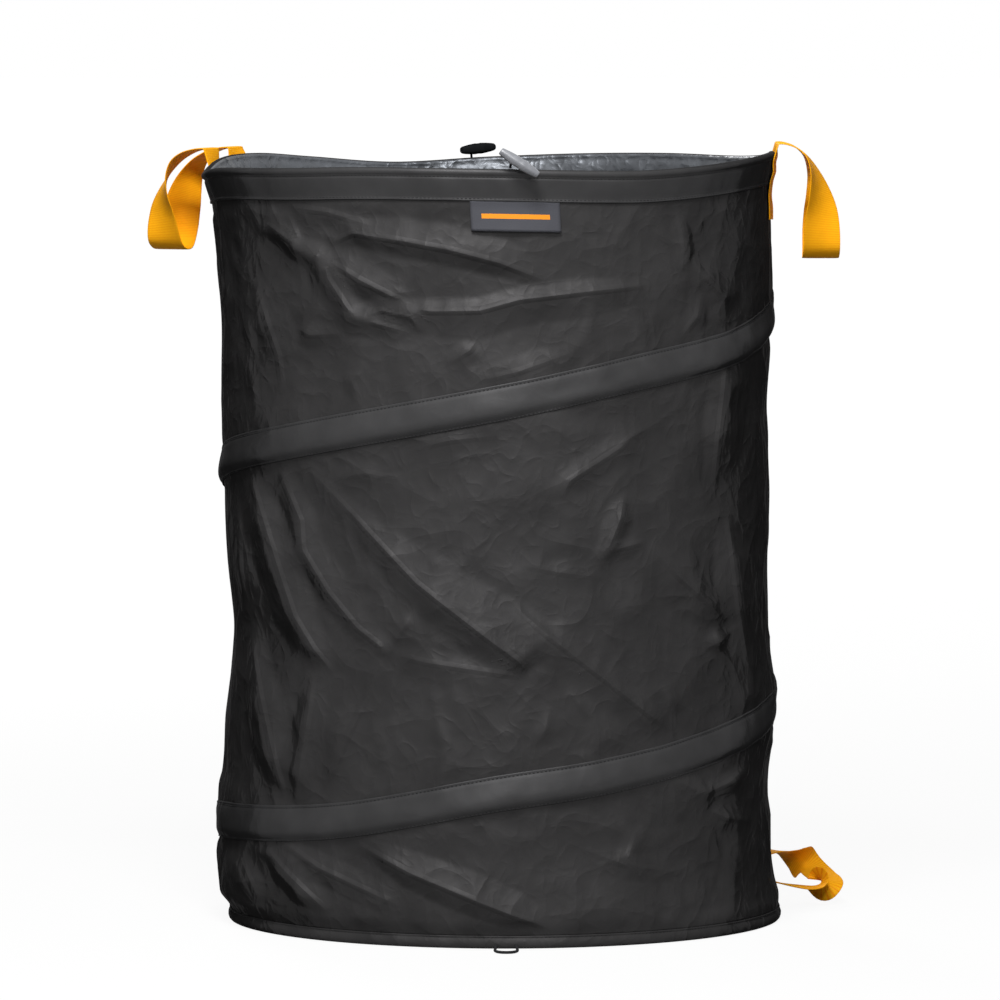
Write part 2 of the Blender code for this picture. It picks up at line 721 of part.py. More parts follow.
def build_cord(name, points, radius, material, pivot):
    curve = bpy.data.curves.new(name, "CURVE")
    curve.dimensions = "3D"
    curve.bevel_depth = radius
    curve.bevel_resolution = 1
    curve.use_fill_caps = True
    spline = curve.splines.new("POLY")
    spline.points.add(len(points) - 1)
    for point, place in zip(spline.points, points):
        point.co = (*place, 1.0)
    curve.materials.append(material)
    thing = bpy.data.objects.new(name, curve)
    bpy.context.collection.objects.link(thing)
    seat_on(thing, pivot)


def cord_hinge(points, reach):
    """A point on the cord's first stretch, far enough out for its end to clear its seat."""
    return points[0] + (points[1] - points[0]).normalized() * reach


def build_front_toggle(plastic, cord, rim_pivot):
    frame = Frame(FRONT_TURN, RIM_LEVEL, RIM_OUTER_RADIUS)
    points = [frame.at(*offset) for offset in FRONT_CORD]
    centre = frame.at(*FRONT_TOGGLE)
    swing = make_pivot("front_toggle_cord_hinge", cord_hinge(points, CORD_HINGE_REACH),
                       rim_pivot)
    turn = make_pivot("front_toggle_hinge", centre, swing)
    build_cord("front_toggle_cord", points, CORD_RADIUS, cord, swing)
    tilt = math.radians(FRONT_TOGGLE_TILT)
    along = frame.side * math.cos(tilt) - frame.up * math.sin(tilt)
    build_toggle("front_toggle", centre, along, plastic, turn)


def build_rear_toggle(plastic, cord, rim_pivot):
    frame = Frame(REAR_TURN, RIM_LEVEL, RIM_OUTER_RADIUS)
    points = [frame.at(*offset) for offset in REAR_CORD]
    swing = make_pivot("rear_toggle_hinge", cord_hinge(points, CORD_HINGE_REACH), rim_pivot)
    build_cord("rear_toggle_cord", points, CORD_RADIUS, cord, swing)
    yaw = math.radians(REAR_TOGGLE_YAW)
    tilt = math.radians(REAR_TOGGLE_TILT)
    level = frame.out * math.sin(yaw) - frame.side * math.cos(yaw)
    along = level * math.cos(tilt) + frame.up * math.sin(tilt)
    build_toggle("rear_toggle", frame.at(*REAR_TOGGLE), along, plastic, swing)


def build_elastic(name, turn, mirror, cord):
    frame = Frame(turn, 0.0, BASE_OUTER_RADIUS)
    points = [frame.at(out, mirror * side, up) for out, side, up in ELASTIC_LOOP]
    near = cord_hinge(points, CORD_HINGE_REACH)
    far = cord_hinge(points[::-1], CORD_HINGE_REACH)
    pivot = make_pivot(name + "_hinge", (near + far) / 2.0)
    build_cord(name, points, ELASTIC_RADIUS, cord, pivot)


def build_bag():
    clear_scene()
    wall_cloth = make_material("black_polyester", (0.030, 0.031, 0.034), 0.62)
    hem_cloth = make_material("black_hem_cloth", (0.024, 0.025, 0.028), 0.66)
    label_cloth = make_material("slate_label", (0.055, 0.062, 0.072), 0.60)
    web = make_material("orange_webbing", (1.0, 0.33, 0.012), 0.70)
    steel = make_material("spring_steel", (0.45, 0.46, 0.47), 0.32, 1.0)
    grey = make_material("grey_plastic", (0.20, 0.21, 0.22), 0.42)
    black = make_material("black_plastic", (0.016, 0.016, 0.018), 0.40)
    rubber = make_material("black_rubber", (0.018, 0.018, 0.018), 0.75)
    cord = make_material("black_cord", (0.020, 0.020, 0.021), 0.80)

    rim_pivot = make_pivot("rim_slide", bag_point(0, 0.0, RIM_LEVEL))
    build_wall(wall_cloth)
    build_base_panel(wall_cloth)
    rim_sleeve = build_ring_band("rim_sleeve", rim_sleeve_profile, hem_cloth)
    seat_on(rim_sleeve, rim_pivot)
    build_ring_band("base_sleeve", base_sleeve_profile, hem_cloth)
    build_spiral(hem_cloth, steel, rubber)
    build_ring_wires(steel, rim_pivot)
    build_ferrules(steel, rim_pivot)
    build_label(label_cloth, rim_pivot)
    build_binding(hem_cloth)
    build_rim_handle("right_handle", RIGHT_HANDLE_TURN, LOOP_REACH, LOOP_DROP, web, rim_pivot)
    build_rim_handle("left_handle", LEFT_HANDLE_TURN, LEFT_REACH, LEFT_DROP, web, rim_pivot)
    build_base_handle(web)
    build_front_toggle(grey, cord, rim_pivot)
    build_rear_toggle(black, cord, rim_pivot)
    build_elastic("front_base_loop", FRONT_TURN, 1, cord)
    build_elastic("rear_base_loop", REAR_TURN, -1, cord)


build_bag()
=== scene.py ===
import json
import math
from bisect import bisect_right
from functools import lru_cache

import bmesh
import bpy
from mathutils import Vector, noise
from mathutils.bvhtree import BVHTree

# Looks of a pop-up garden bag. Metres, +Z up, the base stands on z = 0 with its centre at
# the origin. +X is the side of the right handle and -Y is the front, where the label hangs.
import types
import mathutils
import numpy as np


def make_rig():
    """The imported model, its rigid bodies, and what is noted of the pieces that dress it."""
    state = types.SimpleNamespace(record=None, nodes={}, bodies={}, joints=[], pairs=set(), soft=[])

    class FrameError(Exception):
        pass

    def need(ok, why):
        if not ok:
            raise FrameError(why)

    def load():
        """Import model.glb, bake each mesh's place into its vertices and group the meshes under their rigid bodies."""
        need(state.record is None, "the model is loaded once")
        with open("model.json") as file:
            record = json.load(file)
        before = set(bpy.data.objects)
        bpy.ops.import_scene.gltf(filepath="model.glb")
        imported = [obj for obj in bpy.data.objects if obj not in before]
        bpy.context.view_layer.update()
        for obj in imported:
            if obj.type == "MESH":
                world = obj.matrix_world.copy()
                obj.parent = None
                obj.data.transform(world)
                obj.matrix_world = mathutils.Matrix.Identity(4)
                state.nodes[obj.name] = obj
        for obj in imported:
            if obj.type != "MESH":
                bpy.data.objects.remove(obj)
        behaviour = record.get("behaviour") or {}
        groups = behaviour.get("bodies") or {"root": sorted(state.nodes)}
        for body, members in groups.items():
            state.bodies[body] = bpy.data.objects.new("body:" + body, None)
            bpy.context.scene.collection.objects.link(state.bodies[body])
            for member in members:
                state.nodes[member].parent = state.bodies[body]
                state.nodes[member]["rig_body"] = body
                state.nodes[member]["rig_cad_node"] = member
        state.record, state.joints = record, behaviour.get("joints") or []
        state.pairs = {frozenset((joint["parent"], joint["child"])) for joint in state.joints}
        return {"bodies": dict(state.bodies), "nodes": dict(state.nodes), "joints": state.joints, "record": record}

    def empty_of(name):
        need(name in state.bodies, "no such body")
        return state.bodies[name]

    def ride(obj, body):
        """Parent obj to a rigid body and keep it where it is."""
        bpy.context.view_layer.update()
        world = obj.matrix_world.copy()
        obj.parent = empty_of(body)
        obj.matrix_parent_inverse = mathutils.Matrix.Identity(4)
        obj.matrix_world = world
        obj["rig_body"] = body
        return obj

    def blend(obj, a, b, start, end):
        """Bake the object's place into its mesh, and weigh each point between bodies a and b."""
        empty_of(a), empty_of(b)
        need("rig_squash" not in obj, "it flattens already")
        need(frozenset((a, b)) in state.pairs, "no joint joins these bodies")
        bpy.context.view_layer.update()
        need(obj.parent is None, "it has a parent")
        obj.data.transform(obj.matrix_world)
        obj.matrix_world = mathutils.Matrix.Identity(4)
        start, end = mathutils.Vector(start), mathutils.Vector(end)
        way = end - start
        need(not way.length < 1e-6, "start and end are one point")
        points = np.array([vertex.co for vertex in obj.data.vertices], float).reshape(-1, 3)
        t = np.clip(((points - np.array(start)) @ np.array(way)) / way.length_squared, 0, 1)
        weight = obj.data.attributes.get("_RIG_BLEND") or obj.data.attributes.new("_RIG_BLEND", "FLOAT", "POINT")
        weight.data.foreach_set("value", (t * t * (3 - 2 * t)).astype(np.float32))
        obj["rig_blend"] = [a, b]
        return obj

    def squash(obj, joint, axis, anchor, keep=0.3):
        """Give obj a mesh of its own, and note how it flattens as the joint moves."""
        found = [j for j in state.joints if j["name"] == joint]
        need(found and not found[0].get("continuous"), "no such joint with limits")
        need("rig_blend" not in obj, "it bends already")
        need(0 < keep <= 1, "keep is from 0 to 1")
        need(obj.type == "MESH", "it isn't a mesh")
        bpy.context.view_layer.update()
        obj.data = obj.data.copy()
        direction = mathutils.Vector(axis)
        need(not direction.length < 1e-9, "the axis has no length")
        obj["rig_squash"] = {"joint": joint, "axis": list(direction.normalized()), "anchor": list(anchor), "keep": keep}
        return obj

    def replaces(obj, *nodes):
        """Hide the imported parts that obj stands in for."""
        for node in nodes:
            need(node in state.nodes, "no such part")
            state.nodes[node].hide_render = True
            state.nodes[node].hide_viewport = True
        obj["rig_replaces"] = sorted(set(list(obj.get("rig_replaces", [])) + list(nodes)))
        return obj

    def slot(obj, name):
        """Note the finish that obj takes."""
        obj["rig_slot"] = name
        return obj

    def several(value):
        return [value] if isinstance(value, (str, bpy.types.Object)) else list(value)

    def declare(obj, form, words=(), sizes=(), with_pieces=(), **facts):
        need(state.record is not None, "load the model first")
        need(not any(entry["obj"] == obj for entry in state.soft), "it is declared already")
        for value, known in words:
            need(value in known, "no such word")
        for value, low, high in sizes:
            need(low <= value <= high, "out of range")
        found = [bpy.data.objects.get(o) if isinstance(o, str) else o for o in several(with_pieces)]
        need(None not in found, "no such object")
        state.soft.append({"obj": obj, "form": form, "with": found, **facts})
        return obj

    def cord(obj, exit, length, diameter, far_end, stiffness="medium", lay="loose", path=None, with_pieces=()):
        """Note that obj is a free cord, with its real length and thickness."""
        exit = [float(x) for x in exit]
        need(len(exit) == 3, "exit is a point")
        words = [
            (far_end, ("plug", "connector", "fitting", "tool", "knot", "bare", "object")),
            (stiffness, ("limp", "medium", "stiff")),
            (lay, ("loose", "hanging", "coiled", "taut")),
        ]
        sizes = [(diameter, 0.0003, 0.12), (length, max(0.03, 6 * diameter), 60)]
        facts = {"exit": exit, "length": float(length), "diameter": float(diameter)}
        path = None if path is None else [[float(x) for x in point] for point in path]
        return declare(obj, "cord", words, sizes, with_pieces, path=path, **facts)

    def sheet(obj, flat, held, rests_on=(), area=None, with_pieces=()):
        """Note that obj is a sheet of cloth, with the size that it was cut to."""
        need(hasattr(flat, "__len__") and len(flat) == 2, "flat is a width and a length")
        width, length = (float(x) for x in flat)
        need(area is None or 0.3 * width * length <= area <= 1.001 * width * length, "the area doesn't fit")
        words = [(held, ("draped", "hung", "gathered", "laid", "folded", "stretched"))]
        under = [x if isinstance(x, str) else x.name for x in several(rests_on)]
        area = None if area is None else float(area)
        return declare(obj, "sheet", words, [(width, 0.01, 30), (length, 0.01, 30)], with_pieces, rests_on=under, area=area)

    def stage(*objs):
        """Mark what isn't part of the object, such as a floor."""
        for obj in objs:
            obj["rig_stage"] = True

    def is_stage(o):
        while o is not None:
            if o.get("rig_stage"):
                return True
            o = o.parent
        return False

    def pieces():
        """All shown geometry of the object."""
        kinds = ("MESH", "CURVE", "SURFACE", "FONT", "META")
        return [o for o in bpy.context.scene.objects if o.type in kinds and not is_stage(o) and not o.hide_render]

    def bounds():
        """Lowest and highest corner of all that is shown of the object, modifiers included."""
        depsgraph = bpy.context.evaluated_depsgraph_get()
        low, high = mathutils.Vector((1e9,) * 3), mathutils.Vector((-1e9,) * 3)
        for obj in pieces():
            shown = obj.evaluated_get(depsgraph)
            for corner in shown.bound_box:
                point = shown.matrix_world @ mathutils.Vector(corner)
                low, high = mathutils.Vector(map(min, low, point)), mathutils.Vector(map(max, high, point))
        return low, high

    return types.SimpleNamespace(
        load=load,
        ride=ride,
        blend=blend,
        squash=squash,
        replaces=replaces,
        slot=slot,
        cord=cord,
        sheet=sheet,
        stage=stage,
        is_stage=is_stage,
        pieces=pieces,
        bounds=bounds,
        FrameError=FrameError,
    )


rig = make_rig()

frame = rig.load()
cad_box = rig.bounds()

# Without a seed of its own, the vector noise of the cloth's creases follows the clock.
CREASE_SEED = 7
noise.seed_set(CREASE_SEED)


def metres(rows):
    """Rows of numbers in millimetres, turned into metres."""
    return tuple(tuple(value / 1000.0 for value in row) for row in rows)


# The bag's sizes, as in its solids
RIM_LEVEL = 0.790
RIM_WAVE = 0.011
BASE_OUTER_RADIUS = 0.287
RIM_OUTER_RADIUS = 0.2993
SEAM_WALL_RADIUS = 0.2905
RIM_LEAN = -0.017
COLUMNS = 60
MERGE = 0.00002
GAP = 0.0003
SQUASH_KEEP = 0.10
WALL_CLOTH = 0.0008
HEM_CLOTH = 0.0008
RIM_HEM_HEIGHT = 0.033
BASE_HEM_HEIGHT = 0.0135
SAG_SHARE = 0.02
HEM_HOLLOW = 0.0032
BASE_RING_RADIUS = BASE_OUTER_RADIUS - HEM_CLOTH - HEM_HOLLOW
RIM_RING_RADIUS = RIM_OUTER_RADIUS - HEM_CLOTH - HEM_HOLLOW
BASE_WALL_RADIUS = BASE_RING_RADIUS - HEM_HOLLOW
RIM_WAVE_SHARES = (
    (0, 1.0), (15, 0.45), (30, 0.24), (50, 0.32), (70, 0.18), (90, -0.18),
    (110, -0.64), (130, 0.0), (145, 0.45), (160, 0.24), (180, -1.0), (200, -0.36),
    (225, -0.14), (245, 0.09), (270, 0.0), (300, -0.27), (315, 0.0), (340, 0.73),
)
SPIRAL_SHARES = (
    (-96, 0.957), (-70, 0.916), (0, 0.797), (30, 0.756), (60, 0.727), (90, 0.690),
    (136, 0.637), (180, 0.589), (230, 0.513), (270, 0.437), (310, 0.361), (360, 0.281),
    (397, 0.242), (429, 0.208), (450, 0.190), (487, 0.147), (540, 0.121), (600, 0.076),
    (660, 0.034), (684, 0.0171),
)
LEAN_SHARES = (
    (0.0, 0.0), (0.021, 0.25), (0.073, 0.46), (0.268, 0.50), (0.581, 0.45), (0.794, 0.53),
    (0.957, 0.88), (1.0, 1.0), (1.04, 1.08),
)
GIRTH_SHARES = (
    (0.0, 0.0), (0.022, 0.60), (0.0625, 0.77), (0.11, 0.78), (0.28, 0.73), (0.607, 0.59),
    (0.829, 0.54), (0.923, 0.72), (1.0, 1.0),
)
LINE_FIRST = -16
LINE_LAST = 114
SLEEVE_FIRST = -12
SLEEVE_LAST = 110

# Straps, as in the solids
WEB_WIDTH = 0.038
WEB_CLOTH = 0.0015
WEB_ARCH = 0.007
HINGE_CLEARANCE = 0.0006
ROOT_SPREAD = 0.0315
RIM_TAIL = 0.070
BASE_TAIL_TOP = 0.064
BASE_HINGE_LEVEL = 0.030
HANGING_SHARES = (
    (0.22, 1.0, 0.004, 0), (0.46, 1.0, -0.035, 0), (0.68, 0.98, -0.12, 5),
    (0.84, 0.95, -0.26, 18), (0.94, 0.90, -0.43, 38), (0.99, 0.82, -0.61, 62),
    (1.0, 0.74, -0.78, 80), (1.0, 0.60, -0.91, 90), (0.99, 0.33, -0.98, 90),
)
HANGING_FOLD = (0.98, 0.0, -1.0, 90)
BASE_FRONT_SHARES = (
    (0.14, 1.0, -0.1, 0), (0.34, 1.0, -0.32, 0), (0.56, 0.97, -0.48, 12),
    (0.74, 0.90, -0.50, 35), (0.88, 0.80, -0.42, 62), (0.97, 0.64, -0.30, 84),
    (1.0, 0.34, -0.16, 90),
)
BASE_REAR_SHARES = (
    (0.04, 1.0, 0.03, 0), (0.13, 1.0, 0.42, 0), (0.28, 1.0, 0.95, 0),
    (0.46, 0.98, 1.15, 8), (0.64, 0.93, 1.02, 24), (0.80, 0.85, 0.72, 48),
    (0.93, 0.70, 0.40, 74), (1.0, 0.40, 0.14, 90),
)
BASE_FOLD = (1.0, 0.0, -0.04, 90)

# Cords and toggles, as in the solids
CORD_RADIUS = 0.00125
ELASTIC_RADIUS = 0.0015
FRONT_CORD = metres((
    (-3.8, 22.6, 0.3), (-3.8, 23, 3.8), (-3.3, 25.8, 6.2), (-2.1, 29.5, 6.6), (-0.1, 31.6, 6.1),
    (2, 31.6, 6),
))
REAR_CORD = metres((
    (-1.3, 16, -12), (5.2, 16.4, -13.7), (9.9, 17.2, -11.2), (11.3, 18.2, -5.5), (9.9, 18.7, 0.6),
    (6.5, 18, 5.5), (3.6, 15.65, 6.5),
))
ELASTIC_LOOP = metres((
    (-0.1, -8.5, 4.5), (5.5, -9, 3.4), (11.5, -9.6, 2.2), (18, -9.9, 1.9), (24.8, -9.5, 1.9),
    (31, -7.8, 1.9), (35.8, -4, 1.9), (37.5, 1.5, 1.9), (35.8, 7, 1.9), (31, 10.8, 1.9),
    (24.8, 12.5, 1.9), (18, 12.9, 1.9), (11.5, 12.6, 2.2), (5.5, 12, 3.4), (-0.2, 11.5, 4.5),
))
FRONT_TOGGLE = (0.0085, 0.0316, 0.0060)
REAR_TOGGLE = (-0.0015, 0.0115, 0.0065)
TOGGLE_LENGTH = 0.045
TOGGLE_RADIUS = 0.006


# Lines of the bag

@lru_cache(maxsize=None)
def table_points(table, period):
    if period is None:
        return list(table), [a for a, v in table]
    points = [(a + turns * period, v) for turns in (-1, 0, 1) for a, v in table]
    return points, [a for a, v in points]


def read_table(table, at, period=None):
    """Smooth value of a table at a point, by a cubic through its entries."""
    points, places = table_points(table, period)
    if period is not None:
        at = at % period
    else:
        at = min(max(at, places[0]), places[-1])
    count = len(points)
    left = min(max(bisect_right(places, at) - 1, 0), count - 2)
    (a0, v0), (a1, v1) = points[left], points[left + 1]
    before = points[max(left - 1, 0)]
    after = points[min(left + 2, count - 1)]
    slope0 = (v1 - before[1]) / (a1 - before[0])
    slope1 = (after[1] - v0) / (after[0] - a0)
    span = a1 - a0
    t = (at - a0) / span
    return ((2 * t**3 - 3 * t**2 + 1) * v0 + (t**3 - 2 * t**2 + t) * span * slope0
            + (3 * t**2 - 2 * t**3) * v1 + (t**3 - t**2) * span * slope1)


@lru_cache(maxsize=None)
def rim_top(turn):
    return RIM_LEVEL + RIM_WAVE * read_table(RIM_WAVE_SHARES, turn, 360)


def rim_seam(turn):
    return rim_top(turn) - RIM_HEM_HEIGHT


def column_turn(column):
    return -360.0 / COLUMNS * column


@lru_cache(maxsize=None)
def line_level(column):
    """Height of the spiral, held between the two hems' seams past its ends."""
    seam = rim_seam(round(column_turn(column) % 360.0, 6))
    if column <= LINE_FIRST:
        return seam
    if column >= LINE_LAST:
        return BASE_HEM_HEIGHT
    level = RIM_LEVEL * read_table(SPIRAL_SHARES, -column_turn(column))
    return min(max(level, BASE_HEM_HEIGHT), seam)


def wall_line_radius(level):
    height = RIM_LEVEL - RIM_HEM_HEIGHT - BASE_HEM_HEIGHT
    share = read_table(GIRTH_SHARES, (level - BASE_HEM_HEIGHT) / height)
    return BASE_WALL_RADIUS + (SEAM_WALL_RADIUS - BASE_WALL_RADIUS) * share


def lean(level):
    height = RIM_LEVEL - BASE_HEM_HEIGHT
    return RIM_LEAN * read_table(LEAN_SHARES, (level - BASE_HEM_HEIGHT) / height)


def outward(turn):
    angle = math.radians(turn)
    return Vector((math.cos(angle), math.sin(angle), 0.0))


def sideways(turn):
    angle = math.radians(turn)
    return Vector((-math.sin(angle), math.cos(angle), 0.0))


def bag_point(turn, radius, level):
    angle = math.radians(turn)
    return Vector((lean(level) + radius * math.cos(angle), radius * math.sin(angle), level))


def strip_radius(column, level):
    top = line_level(column - COLUMNS)
    depth = top - line_level(column)
    if depth <= MERGE:
        return wall_line_radius(level)
    share = min(max((top - level) / depth, 0.0), 1.0)
    return wall_line_radius(level) - SAG_SHARE * depth * 4.0 * share * (1.0 - share)


class Frame:
    """Directions at a handle's hinge: outward, sideways and up."""

    def __init__(self, turn, level, radius):
        self.turn = turn
        self.out = outward(turn)
        self.side = sideways(turn)
        self.up = Vector((0.0, 0.0, 1.0))
        self.hinge = bag_point(turn, radius, level)

    def at(self, out, side, up):
        return self.hinge + self.out * out + self.side * side + self.up * up


# Mesh helpers

def add_grid(builder, columns, rows, place, measure=None):
    """A grid of cells; measure(column, row) gives each corner's place on the flat cloth."""
    uv = builder.loops.layers.uv.verify()
    made = bmesh.ops.create_grid(builder, x_segments=columns, y_segments=rows, size=1.0)
    corner = {}
    for vertex in made["verts"]:
        column = round((vertex.co.x + 1.0) / 2.0 * columns)
        row = round((vertex.co.y + 1.0) / 2.0 * rows)
        corner[vertex] = (column, row)
        vertex.co = place(column, row)
    if measure is not None:
        for vertex, (column, row) in corner.items():
            for loop in vertex.link_loops:
                loop[uv].uv = measure(column, row)


def finish(name, builder, material, smooth=True):
    """Turn a bmesh into a piece with normals outward and its place in its mesh."""
    bmesh.ops.remove_doubles(builder, verts=builder.verts, dist=MERGE)
    bmesh.ops.dissolve_degenerate(builder, edges=builder.edges, dist=MERGE / 2.0)
    bmesh.ops.recalc_face_normals(builder, faces=builder.faces)
    for face in builder.faces:
        face.smooth = smooth
    mesh = bpy.data.meshes.new(name)
    builder.to_mesh(mesh)
    builder.free()
    materials = material if isinstance(material, (list, tuple)) else [material]
    for each in materials:
        mesh.materials.append(each)
    piece = bpy.data.objects.new(name, mesh)
    bpy.context.collection.objects.link(piece)
    return piece


def thicken(piece, thickness, inside_slot=0):
    """Give a cloth its thickness, behind the side that is drawn."""
    wall = piece.modifiers.new("Thickness", "SOLIDIFY")
    wall.thickness = thickness
    wall.offset = -1.0
    wall.use_even_offset = False
    wall.material_offset = inside_slot


def points_outward(piece):
    """Whether the first faces look away from the bag's axis."""
    total = 0.0
    for face in list(piece.data.polygons)[:400]:
        total += face.normal.dot(Vector((face.center.x, face.center.y, 0.0)).normalized())
    return total > 0.0


def turn_outward(piece):
    if not points_outward(piece):
        piece.data.flip_normals()


def settle(piece, body, slot, *nodes):
    """Ride a body in a material slot, in place of the solids that the piece stands for."""
    if nodes:
        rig.replaces(piece, *nodes)
    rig.slot(piece, slot)
    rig.ride(piece, body)


def fold_down(piece):
    """Flatten a piece towards the floor as the bag collapses."""
    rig.squash(piece, "collapse", axis=(0, 0, 1), anchor=(0, 0, 0), keep=SQUASH_KEEP)


def sweep(stations, closed, measure=None):
    """A skin swept through loops of points, as a closed tube with capped ends."""
    builder = bmesh.new()
    around = len(stations[0])
    count = len(stations)
    columns = count if closed else count - 1
    add_grid(builder, columns, around,
             lambda column, row: stations[column % count][row % around], measure)
    bmesh.ops.remove_doubles(builder, verts=builder.verts, dist=MERGE)
    if not closed:
        open_edges = [edge for edge in builder.edges if edge.is_boundary]
        bmesh.ops.holes_fill(builder, edges=open_edges, sides=around)
    return builder


def smoothed(points, steps):
    """More points on a path, on a cubic through those given."""
    tables = [tuple((index, point[axis]) for index, point in enumerate(points))
              for axis in range(len(points[0]))]
    count = steps * (len(points) - 1) + 1
    return [[read_table(table, step / steps) for table in tables] for step in range(count)]


def tube(name, points, radius, material, sides=10):
    """A cord swept along a path, measured along its length for its braid."""
    path = [Vector(point) for point in points]
    stations = []
    lengths = [0.0]
    for first, second in zip(path, path[1:]):
        lengths.append(lengths[-1] + (second - first).length)
    across = None
    for index, centre in enumerate(path):
        before = path[max(index - 1, 0)]
        after = path[min(index + 1, len(path) - 1)]
        along = (after - before).normalized()
        if across is None:
            across = along.orthogonal().normalized()
        across = (across - along * across.dot(along)).normalized()
        other = along.cross(across)
        stations.append([
            centre + (across * math.cos(math.tau * side / sides)
                      + other * math.sin(math.tau * side / sides)) * radius
            for side in range(sides)])
    builder = sweep(stations, False,
                    lambda column, row: (row / sides * math.tau * radius, lengths[column]))
    piece = finish(name, builder, material)
    return piece, lengths[-1]


# Materials

def feed(socket, value):
    """Link a socket to another node's output, or set it to a plain value."""
    if isinstance(value, bpy.types.NodeSocket):
        socket.id_data.links.new(value, socket)
    elif socket.type == "RGBA":
        socket.default_value = (*value, 1.0)
    else:
        socket.default_value = value


def add_node(tree, kind, **values):
    """A node, with each value given to its setting or its socket of that name."""
    made = tree.nodes.new("ShaderNode" + kind)
    for key, value in values.items():
        if hasattr(made, key):
            setattr(made, key, value)
        else:
            feed(made.inputs[key.replace("_", " ")], value)
    return made


def shaded(colour, share):
    return tuple(min(1.0, part * share) for part in colour)


class Paint:
    """A Principled material with helpers for the nodes that this bag's finishes use."""

    def __init__(self, name, colour, roughness, metallic=0.0, specular=0.5):
        self.material = bpy.data.materials.new(name)
        self.material.use_nodes = True
        self.tree = self.material.node_tree
        self.shader = self.tree.nodes["Principled BSDF"]
        self.colour = colour
        self.normal = None
        for socket, value in (("Base Color", colour), ("Roughness", roughness),
                              ("Metallic", metallic), ("Specular IOR Level", specular)):
            feed(self.shader.inputs[socket], value)

    def node(self, kind, output, **values):
        return add_node(self.tree, kind, **values).outputs[output]

    def coordinates(self, kind, turn=0.0):
        return self.node("Mapping", "Vector", Vector=self.node("TexCoord", kind),
                         Rotation=(0.0, 0.0, turn))

    def noise(self, vector, scale, detail=3.0, roughness=0.55):
        return self.node("TexNoise", "Fac", Vector=vector, Scale=scale, Detail=detail,
                         Roughness=roughness)

    def wave(self, vector, pitch, direction="X", distortion=0.0):
        """Straight bands of that pitch in metres."""
        return self.node("TexWave", "Fac", bands_direction=direction, Vector=vector,
                         Scale=math.tau / 20.0 / pitch, Distortion=distortion)

    def ridges(self, vector, scale):
        """Sharp crests of crumpled cloth."""
        return self.node("TexNoise", "Fac", noise_type="RIDGED_MULTIFRACTAL", Vector=vector,
                         Scale=scale, Detail=2.0, Roughness=0.5, Offset=1.0, Gain=1.0,
                         Distortion=0.5)

    def attribute(self, name):
        return self.node("Attribute", "Fac", attribute_name=name)

    def between(self, value, low, high, first, second):
        """A value that runs from first to second as the given one runs from low to high."""
        return self.node("MapRange", "Result", Value=value, From_Min=low, From_Max=high,
                         To_Min=first, To_Max=second)

    def math(self, operation, *values):
        made = add_node(self.tree, "Math", operation=operation)
        for socket, value in zip(made.inputs, values):
            feed(socket, value)
        return made.outputs["Value"]

    def mix(self, share, first, second):
        made = add_node(self.tree, "Mix", data_type="RGBA")
        for index, value in ((0, share), (6, first), (7, second)):
            feed(made.inputs[index], value)
        return made.outputs[2]

    def bump(self, height, strength, distance):
        made = add_node(self.tree, "Bump", Height=height, Strength=strength, Distance=distance)
        if self.normal is not None:
            feed(made.inputs["Normal"], self.normal)
        self.normal = made.outputs["Normal"]
        feed(self.shader.inputs["Normal"], self.normal)

    def paint(self, colour):
        feed(self.shader.inputs["Base Color"], colour)

    def gloss(self, roughness):
        feed(self.shader.inputs["Roughness"], roughness)

    def mottle(self, mask, low, high, dark, pale):
        """Patches of darker and paler colour, by a mask."""
        self.paint(self.mix(self.between(mask, low, high, 0.0, 1.0), shaded(self.colour, dark),
                            shaded(self.colour, pale)))


CREASE_REACH = 0.0045
CREASE_HEIGHT = 0.0011
WEAVE_PITCH = 0.0011
CRUMPLES = ((8.0, 0.0028), (19.0, 0.0013), (45.0, 0.0006))
COATING_WRINKLES = ((24.0, 0.0026), (60.0, 0.0010))
RIB = 0.0018
STRIPE_HALF_LENGTH = 0.0345
STRIPE_HALF_HEIGHT = 0.0023
STRIPE_LEVEL = -0.0005


def polyester(name, colour, roughness, crumple, satin, creased=False):
    """Tight plain-woven satin cloth: a fine weave and small sharp crumples."""
    paint = Paint(name, colour, roughness, metallic=satin, specular=0.0)
    feed(paint.shader.inputs["Specular Tint"], (0.0, 0.0, 0.0))
    flat = paint.coordinates("UV")
    warp = paint.wave(flat, WEAVE_PITCH, "X")
    weft = paint.wave(flat, WEAVE_PITCH, "Y")
    paint.bump(paint.math("MULTIPLY", warp, weft), 0.25, 0.00012)
    place = paint.coordinates("Object")
    for scale, depth in CRUMPLES:
        paint.bump(paint.ridges(place, scale), crumple, depth)
    if creased:
        away = paint.math("ABSOLUTE", paint.attribute("crest_distance"))
        crest = paint.between(away, 0.0, CREASE_REACH, 1.0, 0.0)
        paint.bump(paint.math("MULTIPLY", crest, paint.attribute("crest_strength")), 1.0,
                   CREASE_HEIGHT)
    paint.mottle(paint.noise(place, 14.0, 4.0, 0.6), 0.3, 0.7, 0.84, 1.12)
    paint.gloss(paint.between(paint.noise(place, 60.0, 4.0), 0.3, 0.7,
                              roughness - 0.05, roughness + 0.07))
    return paint.material


def coated(name, colour):
    """The proofed inner side of the cloth: smooth, wrinkled and shiny in patches."""
    paint = Paint(name, colour, 0.34, metallic=0.6, specular=0.2)
    place = paint.coordinates("Object")
    for scale, depth in COATING_WRINKLES:
        paint.bump(paint.ridges(place, scale), 0.45, depth)
    blotch = paint.noise(place, 30.0, 4.0, 0.6)
    paint.mottle(blotch, 0.35, 0.65, 0.75, 1.25)
    paint.gloss(paint.between(blotch, 0.3, 0.7, 0.32, 0.50))
    return paint.material


